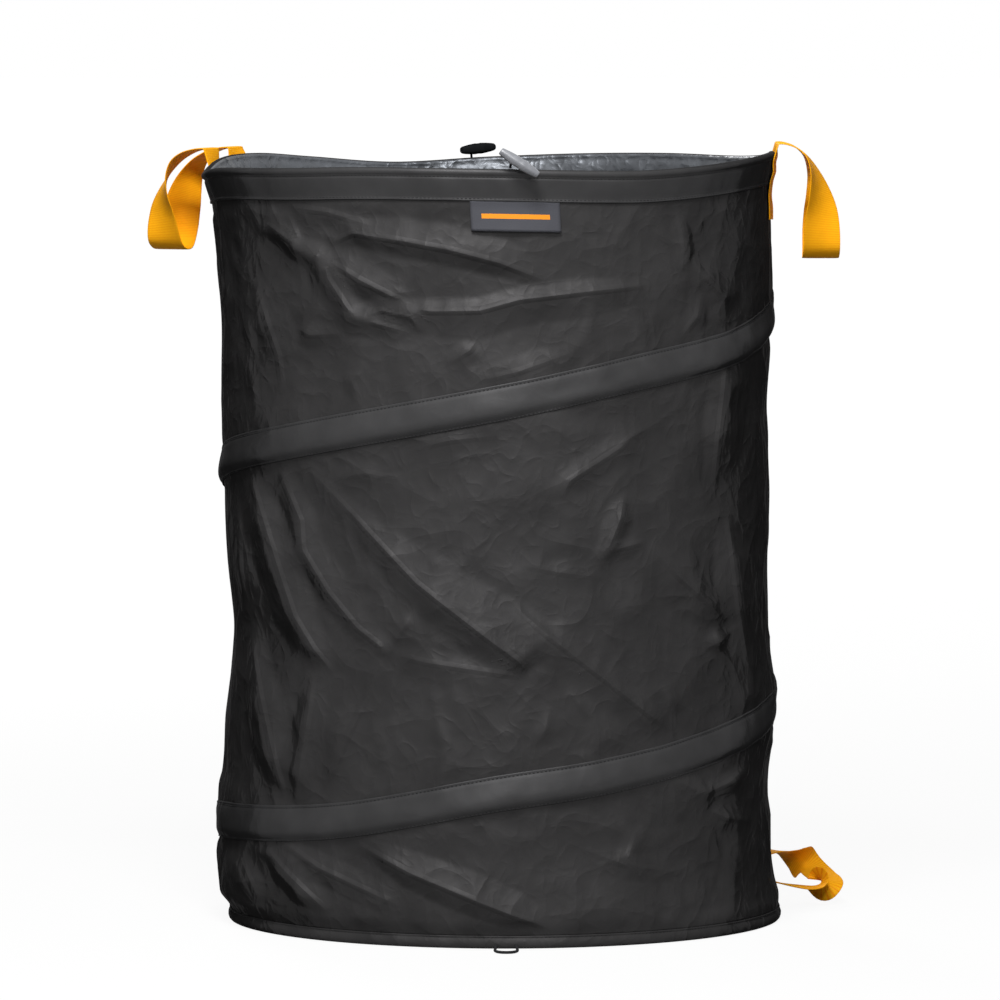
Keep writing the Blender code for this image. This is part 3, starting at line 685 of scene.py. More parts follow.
def webbing(name, colour, groove):
    """Ribbed strap: ribs across its length, fine warp threads along it, and painted shade, a deep red, in the grooves
    between the ribs.
    """
    paint = Paint(name, colour, 0.62, specular=0.06)
    flat = paint.coordinates("UV")
    ribs = paint.wave(flat, RIB, "Y")
    warp = paint.wave(flat, RIB / 2.0, "X", 0.4)
    paint.bump(paint.math("MULTIPLY", ribs, warp), 0.5, 0.00018)
    place = paint.coordinates("Object")
    worn = paint.between(paint.noise(place, 90.0, 4.0), 0.35, 0.7, 0.0, 0.35)
    # Painted shade: where the ribs dip, the colour is pulled towards the dark red groove shade.
    shade = paint.math("MULTIPLY", paint.between(ribs, 0.0, 0.5, 1.0, 0.0), 0.55)
    paint.paint(paint.mix(shade, paint.mix(worn, colour, shaded(colour, 0.82)), groove))
    paint.gloss(paint.between(paint.noise(place, 200.0, 3.0), 0.3, 0.7, 0.55, 0.72))
    return paint.material


def plain(name, colour, roughness, metallic=0.0, grain=400.0, depth=0.00005, specular=0.5):
    """Moulded plastic, wire, rubber and thread: a fine grain and a little wear."""
    paint = Paint(name, colour, roughness, metallic, specular)
    place = paint.coordinates("Object")
    paint.bump(paint.noise(place, grain), 0.35, depth)
    wear = paint.noise(place, grain / 8.0, 4.0)
    paint.mottle(wear, 0.35, 0.65, 0.85, 1.15)
    paint.gloss(paint.between(wear, 0.3, 0.7, roughness - 0.05, roughness + 0.08))
    return paint.material


def braid(name, colour):
    """Braided cord: two sets of strands that wind round it, with painted shade in the valleys between them."""
    paint = Paint(name, colour, 0.8, specular=0.05)
    strands = paint.math("MAXIMUM", *(paint.wave(paint.coordinates("UV", turn), 0.0008, "X")
                                      for turn in (0.7, -0.7)))
    paint.bump(strands, 0.7, 0.00025)
    # Painted shade: the valleys between the strands are darkened to 0.4 of the cord's colour.
    paint.paint(paint.mix(strands, shaded(colour, 0.4), colour))
    return paint.material


def label_cloth(name, colour, stripe):
    """Woven label: fine satin ribs, and one plain woven stripe across its middle."""
    paint = Paint(name, colour, 0.55, specular=0.12)
    flat = paint.coordinates("UV")
    paint.bump(paint.wave(flat, 0.0006, "Y"), 0.4, 0.0001)
    along = paint.node("SeparateXYZ", "X", Vector=flat)
    down = paint.math("SUBTRACT", paint.node("SeparateXYZ", "Y", Vector=flat), STRIPE_LEVEL)
    inside = paint.math("MULTIPLY", *(
        paint.math("LESS_THAN", paint.math("ABSOLUTE", off), half)
        for off, half in ((along, STRIPE_HALF_LENGTH), (down, STRIPE_HALF_HEIGHT))))
    threads = paint.mix(paint.wave(flat, 0.0008, "X"), shaded(stripe, 0.7), stripe)
    ground = paint.mix(paint.noise(flat, 900.0, 2.0), shaded(colour, 0.8), shaded(colour, 1.2))
    paint.paint(paint.mix(inside, ground, threads))
    paint.bump(inside, 0.6, 0.0003)
    return paint.material


wall_paint = polyester("black_polyester_cloth", (0.040, 0.039, 0.0395), 0.55, 0.55, 0.45,
                       creased=True)
inside_paint = coated("coated_cloth_inside", (0.095, 0.101, 0.111))
# The hem tape is painted a little paler than the wall cloth, partly as a painted highlight for the light that catches
# the sleeve's ridges.
hem_paint = polyester("black_hem_tape", (0.048, 0.0475, 0.0485), 0.50, 0.10, 0.50)
label_paint = label_cloth("slate_woven_label", (0.056, 0.057, 0.066), (0.90, 0.30, 0.02))
# The webbing's second colour is painted shade for the grooves between its ribs.
web_paint = webbing("orange_ribbed_webbing", (1.0, 0.46, 0.008), (0.80, 0.17, 0.002))
# Black thread, painted darker than the cloth, partly as painted shadow along the seam lines where the stitches sit.
thread_paint = plain("black_thread", (0.016, 0.016, 0.017), 0.7, grain=2500.0, specular=0.1)
steel_paint = plain("spring_steel_wire", (0.42, 0.43, 0.45), 0.30, 1.0, 300.0)
rubber_paint = plain("black_rubber_tip", (0.020, 0.020, 0.020), 0.78, grain=900.0)
grey_paint = plain("grey_moulded_plastic", (0.165, 0.170, 0.185), 0.36, grain=700.0,
                   depth=0.00008)
black_paint = plain("black_moulded_plastic", (0.010, 0.011, 0.012), 0.60, grain=700.0,
                    specular=0.0)
cord_paint = braid("black_braided_cord", (0.030, 0.030, 0.032))


# The cloth wall

FRONT_STEPS = 9
BACK_STEPS = 3
WALL_ROWS = 84
WALL_TOP_HIDDEN = 0.020
FOOT_TUCK_LEVEL = 0.0092
FOOT_LEVEL = 0.0022
FOOT_BULGE = 0.0066
FOOT_BULGE_HEIGHT = 0.080
WALL_SAG_SHARE = 0.008

# Folds of the front, seen from the front. Each is a crest of points: x, z, the height there
# and the widths of its flat flanks on the left and on the right of the way that it runs.
FOLDS = [metres(crest) for crest in (
    ((-206, 490, 0, 4, 6), (-155, 439, 2.5, 10, 16), (-90, 372, 8, 36, 24),
     (-25, 322, 10, 44, 26), (13, 294, 9, 46, 20), (23, 281, 0, 40, 12)),
    ((-5, 362, 0, 6, 20), (46, 317, 4, 11, 26), (111, 265, 4.5, 11, 26), (146, 236, 4, 10, 20),
     (171, 216, 0, 6, 10)),
    ((-231, 481, 0, 10, 12), (-208, 430, 7, 18, 20), (-206, 400, 7, 22, 18),
     (-180, 359, 5, 24, 14), (-150, 324, 4, 20, 12), (-119, 301, 3, 12, 10),
     (-113, 296, 0, 8, 8)),
    ((-119, 299, 0, 8, 8), (-100, 329, 3, 8, 10), (-96, 339, 0, 6, 6)),
    ((-119, 299, 0, 8, 16), (-155, 223, 4, 14, 26), (-174, 178, 4, 14, 22),
     (-188, 150, 0, 10, 14)),
    ((-118, 299, 0, 8, 10), (-80, 291, 2.5, 10, 20), (5, 279, 2, 10, 24), (23, 276, 0, 8, 8)),
    ((-263, 475, 0, 10, 16), (-246, 425, 9, 17, 26), (-232, 382, 11, 18, 28),
     (-215, 332, 9, 18, 26), (-194, 299, 6, 16, 20), (-173, 275, 0, 10, 12)),
    ((-266, 324, 0, 10, 14), (-250, 243, 9, 16, 22), (-236, 183, 9, 16, 20),
     (-225, 145, 0, 10, 12)),
    ((-194, 279, 0, 16, 12), (-202, 223, 6, 22, 14), (-210, 173, 7, 24, 14),
     (-214, 138, 0, 16, 12)),
    ((-276, 445, 0, 14, 10), (-273, 375, 5, 16, 14), (-269, 319, 0, 14, 10)),
    ((227, 592, 0, 20, 10), (225, 566, 6, 30, 14), (219, 516, 7, 30, 14), (214, 465, 0, 20, 10)),
    ((229, 430, 0, 18, 12), (235, 385, 7, 26, 18), (241, 334, 8, 26, 18), (253, 266, 0, 16, 12)),
    ((149, 407, 0, 24, 20), (176, 375, 6, 30, 28), (211, 342, 6, 26, 26), (228, 319, 0, 16, 16)),
    ((214, 318, 0, 8, 8), (219, 306, 6, 9, 11), (222, 293, 0, 8, 8)),
    ((121, 460, 0, 6, 12), (117, 435, 5.5, 7, 17), (107, 410, 5, 7, 15), (95, 389, 0, 6, 10)),
    ((96, 400, 0, 8, 8), (121, 406, 3.5, 9, 12), (144, 411, 0, 7, 9)),
    ((15, 390, 0, 10, 18), (56, 382, 2, 12, 20), (106, 375, 0, 10, 16)),
    ((176, 233, 0, 8, 10), (169, 248, 3, 8, 10), (161, 264, 0, 7, 9)),
    ((46, 248, 0, 10, 8), (41, 223, 2.5, 10, 10), (31, 208, 0, 8, 8)),
    ((63, 269, 0, 8, 8), (76, 248, 2.5, 10, 8), (83, 233, 0, 8, 7)),
    ((-231, 750, 0, 8, 14), (-180, 745, 3.5, 10, 18), (-129, 730, 0, 8, 12)),
    ((-223, 748, 0, 8, 12), (-206, 708, 5, 9, 16), (-184, 697, 6, 9, 18), (-179, 677, 6, 9, 20),
     (-155, 641, 6, 9, 22), (-130, 633, 5, 10, 16), (-93, 623, 0, 8, 10)),
    ((-182, 697, 0, 18, 14), (-145, 676, 6, 22, 16), (-113, 660, 4, 18, 16),
     (-90, 651, 0, 10, 12)),
    ((-179, 712, 0, 10, 10), (-153, 724, 5, 16, 12), (-105, 717, 6.5, 24, 12),
     (-55, 708, 6.5, 26, 13), (-5, 695, 5.5, 24, 13), (43, 676, 0, 14, 10)),
    ((-110, 651, 0, 9, 20), (-75, 646, 4.5, 12, 26), (-25, 647, 5, 13, 28), (15, 658, 5, 13, 26),
     (86, 666, 5, 12, 26), (149, 671, 0, 9, 16)),
    ((-155, 635, 0, 12, 10), (-125, 646, 4, 14, 12), (-95, 641, 4, 12, 14),
     (-85, 622, 0, 10, 10)),
    ((-246, 733, 0, 10, 12), (-226, 720, 4, 14, 12), (-200, 703, 0, 10, 10)),
    ((-253, 662, 0, 20, 22), (-242, 627, 6, 26, 30), (-231, 597, 5, 26, 28),
     (-226, 556, 0, 20, 20)),
    ((-216, 627, 0, 10, 14), (-198, 619, 3, 14, 14), (-160, 622, 0, 10, 12)),
    ((-145, 546, 0, 12, 12), (-155, 574, 2.5, 14, 14), (-140, 592, 0, 12, 12)),
    ((-60, 592, 0, 10, 12), (-35, 607, 3, 12, 14), (-30, 614, 0, 8, 10)),
    ((174, 742, 0, 7, 9), (180, 725, 2.8, 8, 12), (183, 705, 2.8, 8, 12), (180, 683, 0, 7, 9)),
    ((189, 697, 0, 10, 12), (204, 677, 4.5, 14, 16), (224, 655, 4, 16, 16),
     (227, 627, 0, 12, 12)),
    ((176, 612, 0, 12, 14), (196, 637, 3, 14, 14), (201, 662, 0, 12, 12)),
    ((-25, 576, 0, 14, 14), (15, 586, 2.5, 16, 18), (76, 607, 0, 12, 14)),
    ((-95, 506, 0, 12, 16), (-55, 516, 2.5, 14, 20), (-5, 521, 0, 12, 14)),
    ((56, 455, 0, 14, 16), (66, 475, 3, 14, 18), (116, 506, 2.5, 14, 18), (136, 526, 0, 10, 12)),
    ((-175, 475, 0, 10, 14), (-140, 481, 2, 12, 16), (-105, 475, 0, 10, 12)),
    ((-246, 91, 0, 12, 8), (-223, 69, 6.5, 20, 10), (-200, 49, 6.5, 20, 10),
     (-179, 31, 0, 12, 8)),
    ((-150, 104, 0, 12, 8), (-95, 77, 6.5, 22, 13), (-45, 57, 7, 26, 14), (5, 37, 6, 24, 14),
     (46, 21, 0, 14, 10)),
    ((-231, 102, 0, 10, 12), (-190, 77, 4, 16, 16), (-140, 57, 3, 16, 16), (-105, 42, 0, 10, 12)),
    ((-276, 82, 0, 12, 14), (-261, 52, 5, 16, 16), (-251, 31, 0, 10, 12)),
    ((176, 168, 0, 9, 9), (199, 150, 4, 12, 12), (206, 132, 0, 9, 9)),
    ((199, 147, 0, 10, 9), (231, 158, 4, 12, 12), (252, 173, 0, 9, 9)),
    ((201, 137, 0, 9, 12), (226, 122, 4, 12, 16), (257, 112, 0, 9, 10)),
    ((136, 122, 0, 10, 12), (126, 92, 3, 12, 14), (146, 57, 0, 10, 10)),
    ((76, 102, 0, 12, 14), (126, 82, 2.5, 14, 16), (176, 72, 0, 12, 12)),
)]
CREST_ROUNDING = 0.0014
CREST_SHARP_HEIGHT = 0.004
CREST_FAR = 0.011
CREST_FADE = 0.004
CREST_APART = 0.005
FOLD_DEPTH = 1.35
FOLD_RADIUS = 0.285
FLANK_LEAST = 1.9


def near_crest(crest, x, level):
    """Distance from a crest, left positive, with its height and two widths there."""
    best = None
    for first, second in zip(crest, crest[1:]):
        along_x, along_z = second[0] - first[0], second[1] - first[1]
        share = ((x - first[0]) * along_x + (level - first[1]) * along_z)
        share = min(max(share / (along_x ** 2 + along_z ** 2), 0.0), 1.0)
        off_x = x - first[0] - along_x * share
        off_z = level - first[1] - along_z * share
        distance = math.hypot(off_x, off_z)
        if best is None or distance < abs(best[0]):
            off = math.copysign(distance, along_x * off_z - along_z * off_x)
            best = (off, *(a + (b - a) * share for a, b in zip(first[2:], second[2:])))
    return best


@lru_cache(maxsize=None)
def fold_box(crest):
    reach = max(max(point[3:]) for point in crest)
    across = [point[0] for point in crest]
    upward = [point[1] for point in crest]
    return min(across) - reach, max(across) + reach, min(upward) - reach, max(upward) + reach


def fold_lift(x, level):
    """Lift of the cloth by the folds of the front."""
    lift = 0.0
    for crest in FOLDS:
        low_x, high_x, low_z, high_z = fold_box(crest)
        if not (low_x < x < high_x and low_z < level < high_z):
            continue
        off, height, left, right = near_crest(crest, x, level)
        height *= FOLD_DEPTH
        width = max(left if off > 0.0 else right, height * FLANK_LEAST)
        away = math.hypot(off, CREST_ROUNDING) - CREST_ROUNDING * 0.4
        if away < width:
            lift += height * (1.0 - away / width) ** 1.1
    return lift


def crest_mark(x, level):
    """Signed distance to the nearest crest and how sharp that is, for the paint."""
    marks = [(CREST_FAR * 2.0, 0.0), (CREST_FAR * 2.0, 0.0)]
    for crest in FOLDS:
        low_x, high_x, low_z, high_z = fold_box(crest)
        if low_x < x < high_x and low_z < level < high_z:
            off, height, left, right = near_crest(crest, x, level)
            marks.append((off, min(height / CREST_SHARP_HEIGHT, 1.0)))
    marks.sort(key=lambda mark: abs(mark[0]))
    off, sharpness = marks[0]
    alone = abs(marks[1][0]) - abs(off) - CREST_APART
    fade = min(max(min(CREST_FAR - abs(off), alone), 0.0), CREST_FADE) / CREST_FADE
    return off, sharpness * fade


def rumple(turn, level):
    """Chance creases and soft swells, the same all round the bag."""
    angle = math.radians(turn)
    place = Vector((math.cos(angle) * 0.29, math.sin(angle) * 0.29, level * 0.8))
    bent = place + noise.noise_vector(place * 6.0) * 0.045
    swell = noise.noise(place * 6.0 + Vector((3.1, 0.0, 0.0))) * 0.0035
    sharp = 0.0
    for scale, seed in ((7.0, 11.3), (13.0, 4.7), (22.0, 8.2)):
        ridge = 1.0 - abs(noise.noise(bent * scale + Vector((seed, seed, 0.0)))) * 3.0
        sharp += max(ridge, 0.0) * 0.026 / scale
    local = noise.noise(place * 4.0 + Vector((0.0, 7.7, 1.3)))
    return swell + sharp * min(max(0.6 + local * 1.6, 0.2), 1.0)


# How far the cloth stands out or falls in at the left and right edges of the front view
LEFT_SIDE = metres((
    (15, 0), (26, 4), (78, 5), (139, 4), (156, 0), (200, -2), (239, -5), (270, -8), (306, -10),
    (338, -7), (375, -2), (416, 0), (480, 0), (503, 3), (562, 5), (618, 5), (661, 6), (698, 4),
    (734, 2), (780, 0),
))
RIGHT_SIDE = metres((
    (20, 0), (44, -4), (90, 0), (139, -2), (200, 1), (239, 4), (270, 1), (306, -2), (375, -1),
    (416, 2), (503, -1), (542, -4), (594, 0), (618, -2), (646, 3), (698, 6), (734, 5), (750, 4),
    (780, 3),
))


def side_lift(turn, level):
    along = math.cos(math.radians(turn))
    table = RIGHT_SIDE if along > 0.0 else LEFT_SIDE
    return read_table(table, level) * abs(along) ** 5


def wall_lift(turn, level, hold):
    """Folds and rumples, dying out towards the lines that hold the cloth."""
    share = min(max((hold - 0.003) / 0.016, 0.0), 1.0)
    share = share * share * (3.0 - 2.0 * share)
    if share <= 0.0:
        return 0.0
    lift = rumple(turn, level) - 0.0016
    lift += side_lift(turn, level)
    angle = math.radians(turn)
    facing = min(max(0.1 - math.sin(angle), 0.0) / 0.3, 1.0)
    if facing > 0.0:
        x = lean(level) + FOLD_RADIUS * math.cos(angle)
        lift = lift * (1.0 - 0.3 * facing) + (fold_lift(x, level) - 0.001) * facing
    return lift * share


def foot_swell(level, turn):
    """How far the cloth bulges outward just above the base hem, past its straight line."""
    reach = min(max((level - BASE_HEM_HEIGHT) / FOOT_BULGE_HEIGHT, 0.0), 1.0)
    beside = math.cos(math.radians(turn)) ** 2
    return FOOT_BULGE * (0.7 + 0.3 * beside) * (1.0 - reach) ** 1.3


@lru_cache(maxsize=None)
def wall_point(fine, row):
    """Turn, radius and level of a corner of the wall's grid."""
    top = line_level(fine - COLUMNS)
    bottom = line_level(fine)
    share = row / WALL_ROWS
    level = top + (bottom - top) * share
    turn = column_turn(fine)
    sag = WALL_SAG_SHARE * (top - bottom) * 4.0 * share * (1.0 - share)
    lift = wall_lift(turn, level, min(top - level, level - bottom))
    radius = wall_line_radius(level) - sag + lift + foot_swell(level, turn)
    return turn, radius, level


def fine_columns(first, last):
    """Columns of the wall's grid, closer together on the front half."""
    columns = []
    for column in range(first, last):
        front = math.sin(math.radians(column_turn(column + 0.5))) < 0.17
        steps = FRONT_STEPS if front else BACK_STEPS
        columns += [round(column + step / steps, 6) for step in range(steps)]
    return columns + [last]


def build_wall(name, inset, material):
    """A skin of the wall: the outer face, or at an inset the coated inner face."""
    builder = bmesh.new()
    strip = fine_columns(LINE_FIRST, LINE_LAST + COLUMNS)
    ring = fine_columns(LINE_FIRST, LINE_FIRST + COLUMNS)
    column_width = math.tau * BASE_OUTER_RADIUS / COLUMNS

    def place(column, row):
        turn, radius, level = wall_point(strip[column], row)
        return bag_point(turn, radius - inset, level)

    def rim_place(column, row):
        turn = round(column_turn(ring[column]) % 360.0, 6)
        level = rim_seam(turn) + WALL_TOP_HIDDEN * row / 2.0
        radius = wall_line_radius(rim_seam(turn)) + 0.0028 * row / 2.0
        return bag_point(turn, radius - inset, level)

    def foot_place(column, row):
        turn = round(column_turn(ring[column]) % 360.0, 6)
        level = (BASE_HEM_HEIGHT, FOOT_TUCK_LEVEL, FOOT_LEVEL)[row]
        radius = wall_line_radius(BASE_HEM_HEIGHT)
        if row == 0:
            radius += foot_swell(BASE_HEM_HEIGHT, turn)
        return bag_point(turn, radius - inset - 0.0002 * row, level)

    add_grid(builder, len(strip) - 1, WALL_ROWS, place,
             lambda column, row: (strip[column] * column_width, wall_point(strip[column], row)[2]))
    add_grid(builder, len(ring) - 1, 2, rim_place,
             lambda column, row: (ring[column] * column_width, 0.757 + 0.01 * row))
    add_grid(builder, len(ring) - 1, 2, foot_place,
             lambda column, row: (ring[column] * column_width, BASE_HEM_HEIGHT - 0.006 * row))
    wall = finish(name, builder, material)
    turn_outward(wall)
    return wall


def mark_crests(piece):
    """Store on the front of the cloth where its crests run."""
    distance = piece.data.attributes.new("crest_distance", "FLOAT", "POINT")
    strength = piece.data.attributes.new("crest_strength", "FLOAT", "POINT")
    for vertex in piece.data.vertices:
        x, y, level = vertex.co
        if y < 0.0:
            off, sharpness = crest_mark(x, level)
            distance.data[vertex.index].value = off
            strength.data[vertex.index].value = sharpness


wall = build_wall("wall_cloth", 0.0, wall_paint)
mark_crests(wall)
lining = build_wall("wall_lining", WALL_CLOTH, inside_paint)
lining.data.flip_normals()
skin = BVHTree.FromObject(wall, bpy.context.evaluated_depsgraph_get())


def skin_radius(turn, level):
    """Outer radius of the finished wall at a place."""
    hit = skin.ray_cast(Vector((lean(level), 0.0, level)), outward(turn))
    return wall_line_radius(level) if hit[0] is None else hit[3]


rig.replaces(wall, "wall_fabric")
for skin_piece in (wall, lining):
    fold_down(skin_piece)
    settle(skin_piece, "base", "black_polyester")
    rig.sheet(skin_piece, flat=(1.82, 0.79), held="stretched",
             rests_on=["top_ring_wire", "spiral_wire"])


# The spiral's sleeve

SLEEVE_STEPS = 5
SLEEVE_SPACING = 0.0302 / SLEEVE_STEPS
SLEEVE_DEEPEST = 0.02
SLEEVE_RIDGE = 0.0049
SLEEVE_RISE = 0.0262
SLEEVE_FALL = 0.0095
SLEEVE_LEAST = 0.004
SLEEVE_PROFILE = metres((
    (26.8, 0.4), (26.2, 1), (25, 1.1), (23.8, 0.4), (22.2, 1.2), (19, 1.7), (15, 2.1), (11, 2.6),
    (7, 3.3), (4, 4.1), (2, 4.7), (0, 4.9), (-2, 4.5), (-4, 3.5), (-6.2, 2.4), (-8, 1.6),
    (-9.2, 1.2), (-9.9, 1.6), (-10.5, 0.6),
))


def sleeve_point(fine, height, stand):
    """A place on the sleeve, at a height over the spiral's line."""
    level = line_level(fine) + height
    turn = column_turn(fine)
    base = max(skin_radius(turn, level), wall_line_radius(level) - SLEEVE_DEEPEST)
    ridge = wall_line_radius(line_level(fine)) + SLEEVE_RIDGE
    share = min(abs(height) / (SLEEVE_RISE if height > 0.0 else SLEEVE_FALL), 1.0)
    share = share ** 0.85 if height > 0.0 else share
    ripple = noise.noise(Vector((fine * 1.1, height * 60.0, 2.0))) * 0.0007
    ripple += noise.noise(Vector((fine * 3.1, height * 40.0, 9.0))) * 0.0004
    ripple *= min(abs(height) / 0.006, 1.0)
    least = stand * 0.8 if share > 0.15 else SLEEVE_LEAST
    radius = ridge * (1.0 - share) + (base + stand) * share
    return bag_point(turn, max(radius, base + least) + ripple, level)


def build_spiral_sleeve():
    builder = bmesh.new()
    columns = (SLEEVE_LAST - SLEEVE_FIRST) * SLEEVE_STEPS

    def place(column, row):
        height, stand = SLEEVE_PROFILE[row]
        return sleeve_point(SLEEVE_FIRST + column / SLEEVE_STEPS, height, stand)

    add_grid(builder, columns, len(SLEEVE_PROFILE) - 1, place,
             lambda column, row: (column * SLEEVE_SPACING, SLEEVE_PROFILE[row][0]))
    sleeve = finish("spiral_sleeve_cloth", builder, hem_paint)
    turn_outward(sleeve)
    thicken(sleeve, 0.0006)
    return sleeve


sleeve = build_spiral_sleeve()
fold_down(sleeve)
settle(sleeve, "base", "black_hem_cloth", "spiral_sleeve")
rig.sheet(sleeve, flat=(0.043, 3.68), held="stretched", rests_on=["spiral_wire"])


# Hems of the rim and the base

HEM_STEPS = 6
HEM_GIRTH = math.tau * 0.29
RIM_FACING_GAP = 0.0014
RIM_HEM_OUTSIDE = metres((
    (0.6, 0), (1.9, 0.6), (2, 1.6), (1.5, 2.6), (1.7, 4), (3, 8.5), (4.3, 13.5), (5.4, 18),
    (6.2, 21.5), (6.4, 23.2), (5.8, 24.3),
))
RIM_HEM_TURNS = (-38, -12, 12, 36, 60, 84, 108, 132, 156, 180, 205)
RIM_HEM_INSIDE = metres(((0.5, 23.8), (-0.8, 21), (-1.2, 14), (-1.4, 6)))
RIM_FACING_DROPS = (0.0, 0.012, 0.026, 0.040)
BASE_HEM_OUTSIDE = metres((
    (0.4, 14), (1.1, 13.7), (1.2, 12.9), (0.7, 12), (1.1, 11), (1.9, 9.2), (2.4, 7), (2.4, 4.6),
    (1.8, 2.4), (0.6, 1), (-2, 0.9), (-6, 0.8),
))
BASE_HEM_UNDER = (BASE_OUTER_RADIUS - 0.0066, 0.0008)
BASE_HEM_INSIDE = metres(((0.7, 1.2), (0.7, 8.5)))


def rim_hem_profile(turn):
    """Outline of the rim's hem: up its outer side, over the ring, down its inner facing."""
    ring = rim_top(turn) - HEM_CLOTH - HEM_HOLLOW
    seam = rim_seam(turn)
    outside = wall_line_radius(seam)
    points = [(outside + out, seam + up) for out, up in RIM_HEM_OUTSIDE]
    for angle in RIM_HEM_TURNS:
        reach = HEM_HOLLOW + HEM_CLOTH
        points.append((RIM_RING_RADIUS + reach * math.cos(math.radians(angle)),
                       ring + reach * math.sin(math.radians(angle))))
    points += [(outside - WALL_CLOTH + out, seam + up) for out, up in RIM_HEM_INSIDE]
    for drop in RIM_FACING_DROPS:
        radius = skin_radius(turn, seam - drop) - WALL_CLOTH - RIM_FACING_GAP
        points.append((radius, seam - drop))
    return points


def hem_ripple(turn, row, rows, size):
    share = math.sin(math.pi * min(row / rows, 1.0))
    angle = math.radians(turn)
    place = Vector((math.cos(angle), math.sin(angle), row * 0.004))
    return (noise.noise(place * 9.0) + 0.6 * noise.noise(place * 24.0)) * size * share


def build_hem(name, profile, outer_rows, ripple, material):
    builder = bmesh.new()
    columns = COLUMNS * HEM_STEPS
    rows = len(profile(0.0)) - 1

    def place(column, row):
        turn = round(column_turn(column % columns / HEM_STEPS) % 360.0, 6)
        radius, level = profile(turn)[row]
        if 0 < row < outer_rows:
            radius += hem_ripple(turn, row, outer_rows, ripple)
        return bag_point(turn, radius, level)

    lengths = [0.0]
    outline = profile(0.0)
    for first, second in zip(outline, outline[1:]):
        lengths.append(lengths[-1] + math.dist(first, second))
    add_grid(builder, columns, rows, place,
             lambda column, row: (column * HEM_GIRTH / columns, lengths[row]))
    return finish(name, builder, material)


rim_hem = build_hem("rim_hem_cloth", rim_hem_profile, 10, 0.0009,
                    (hem_paint, inside_paint, wall_paint))
turn_outward(rim_hem)
for face in rim_hem.data.polygons:
    inward = Vector((lean(face.center.z) - face.center.x, -face.center.y, 0.0)).normalized()
    if face.normal.dot(inward) > 0.6:
        face.material_index = 1
thicken(rim_hem, 0.0006, 1)
settle(rim_hem, "rim", "black_hem_cloth", "rim_sleeve")
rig.sheet(rim_hem, flat=(0.121, 1.86), held="folded", rests_on=["top_ring_wire"])


def base_hem_profile(turn):
    inner = wall_line_radius(BASE_HEM_HEIGHT)
    wall_face = inner + foot_swell(BASE_HEM_HEIGHT, turn)
    points = [(wall_face + out, level) for out, level in BASE_HEM_OUTSIDE]
    return points + [BASE_HEM_UNDER] + [(inner + out, level) for out, level in BASE_HEM_INSIDE]


base_hem = build_hem("base_hem_cloth", base_hem_profile, 8, 0.0006, wall_paint)
turn_outward(base_hem)
thicken(base_hem, 0.0005)
settle(base_hem, "base", "black_hem_cloth", "base_sleeve")
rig.sheet(base_hem, flat=(0.033, 1.80), held="folded", rests_on=["base_ring_wire"])


# The base

PANEL_RINGS = 40
PANEL_RADIUS = BASE_WALL_RADIUS - 0.0020
PANEL_LEVEL = 0.0014
PANEL_EDGE_LEVEL = 0.0060
PANEL_SWELL = 0.0045


def panel_point(column, row):
    """The panel lies on the floor in soft swells, and its edge is turned up at the hem."""
    turn = math.radians(-120.0 * (column % (COLUMNS * 3)) / COLUMNS)
    share = row / PANEL_RINGS
    spot = Vector((math.cos(turn), math.sin(turn), 0.0)) * PANEL_RADIUS * share
    if row == PANEL_RINGS:
        return Vector((spot.x, spot.y, PANEL_EDGE_LEVEL))
    swell = noise.noise(spot * 9.0) * 0.5 + noise.noise(spot * 21.0) * 0.25
    fold = max(0.0, 1.0 - abs(noise.noise(spot * 8.0 + Vector((5.0, 1.0, 0.0)))) * 4.0)
    lift = (0.5 + swell + fold * 0.5) * PANEL_SWELL * (1.0 - share ** 4)
    return Vector((spot.x, spot.y, PANEL_LEVEL + max(lift, 0.0)))


def build_base_panel():
    builder = bmesh.new()
    add_grid(builder, COLUMNS * 3, PANEL_RINGS, panel_point,
             lambda column, row: tuple(panel_point(column, row).xy))
    panel = finish("base_panel_cloth", builder, (inside_paint, wall_paint))
    if panel.data.polygons[0].normal.z < 0.0:
        panel.data.flip_normals()
    thicken(panel, 0.0009, 1)
    return panel


panel = build_base_panel()
settle(panel, "base", "black_polyester", "base_panel")
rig.sheet(panel, flat=(0.556, 0.556), held="laid", rests_on=["base_hem_cloth"], area=0.243)


# The tape inside the upright seam

TAPE_TURN = column_turn(-18)
TAPE_WIDTH = 0.020
TAPE_COLUMNS = 8
TAPE_ROWS = 110
TAPE_STANDS = (0.0016, 0.0022, 0.0020, 0.0022, 0.0016)


def build_seam_tape():
    builder = bmesh.new()
    top = rim_seam(round(TAPE_TURN % 360.0, 6)) - 0.0006
    half = math.degrees(TAPE_WIDTH / 2.0 / BASE_OUTER_RADIUS)

    def place(column, row):
        level = top + (BASE_HEM_HEIGHT - top) * row / TAPE_ROWS
        turn = TAPE_TURN + half * (column / 4.0 - 1.0)
        radius = skin_radius(turn, level) - WALL_CLOTH - TAPE_STANDS[column // 2]
        return bag_point(turn, radius, level)

    add_grid(builder, TAPE_COLUMNS, TAPE_ROWS, place,
             lambda column, row: (column * TAPE_WIDTH / TAPE_COLUMNS, row * 0.007))
    tape = finish("back_seam_tape", builder, hem_paint)
    if points_outward(tape):
        tape.data.flip_normals()
    thicken(tape, 0.0006)
    return tape


tape = build_seam_tape()
fold_down(tape)
settle(tape, "base", "black_hem_cloth", "back_seam_binding")
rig.sheet(tape, flat=(0.020, 0.74), held="stretched", rests_on=["wall_cloth"])


# The label

LABEL_TURN = 275
LABEL_WIDTH = 0.091
LABEL_HEIGHT = 0.030
LABEL_TUCK = 0.0015
LABEL_COLUMNS = 32
LABEL_ROWS = 12


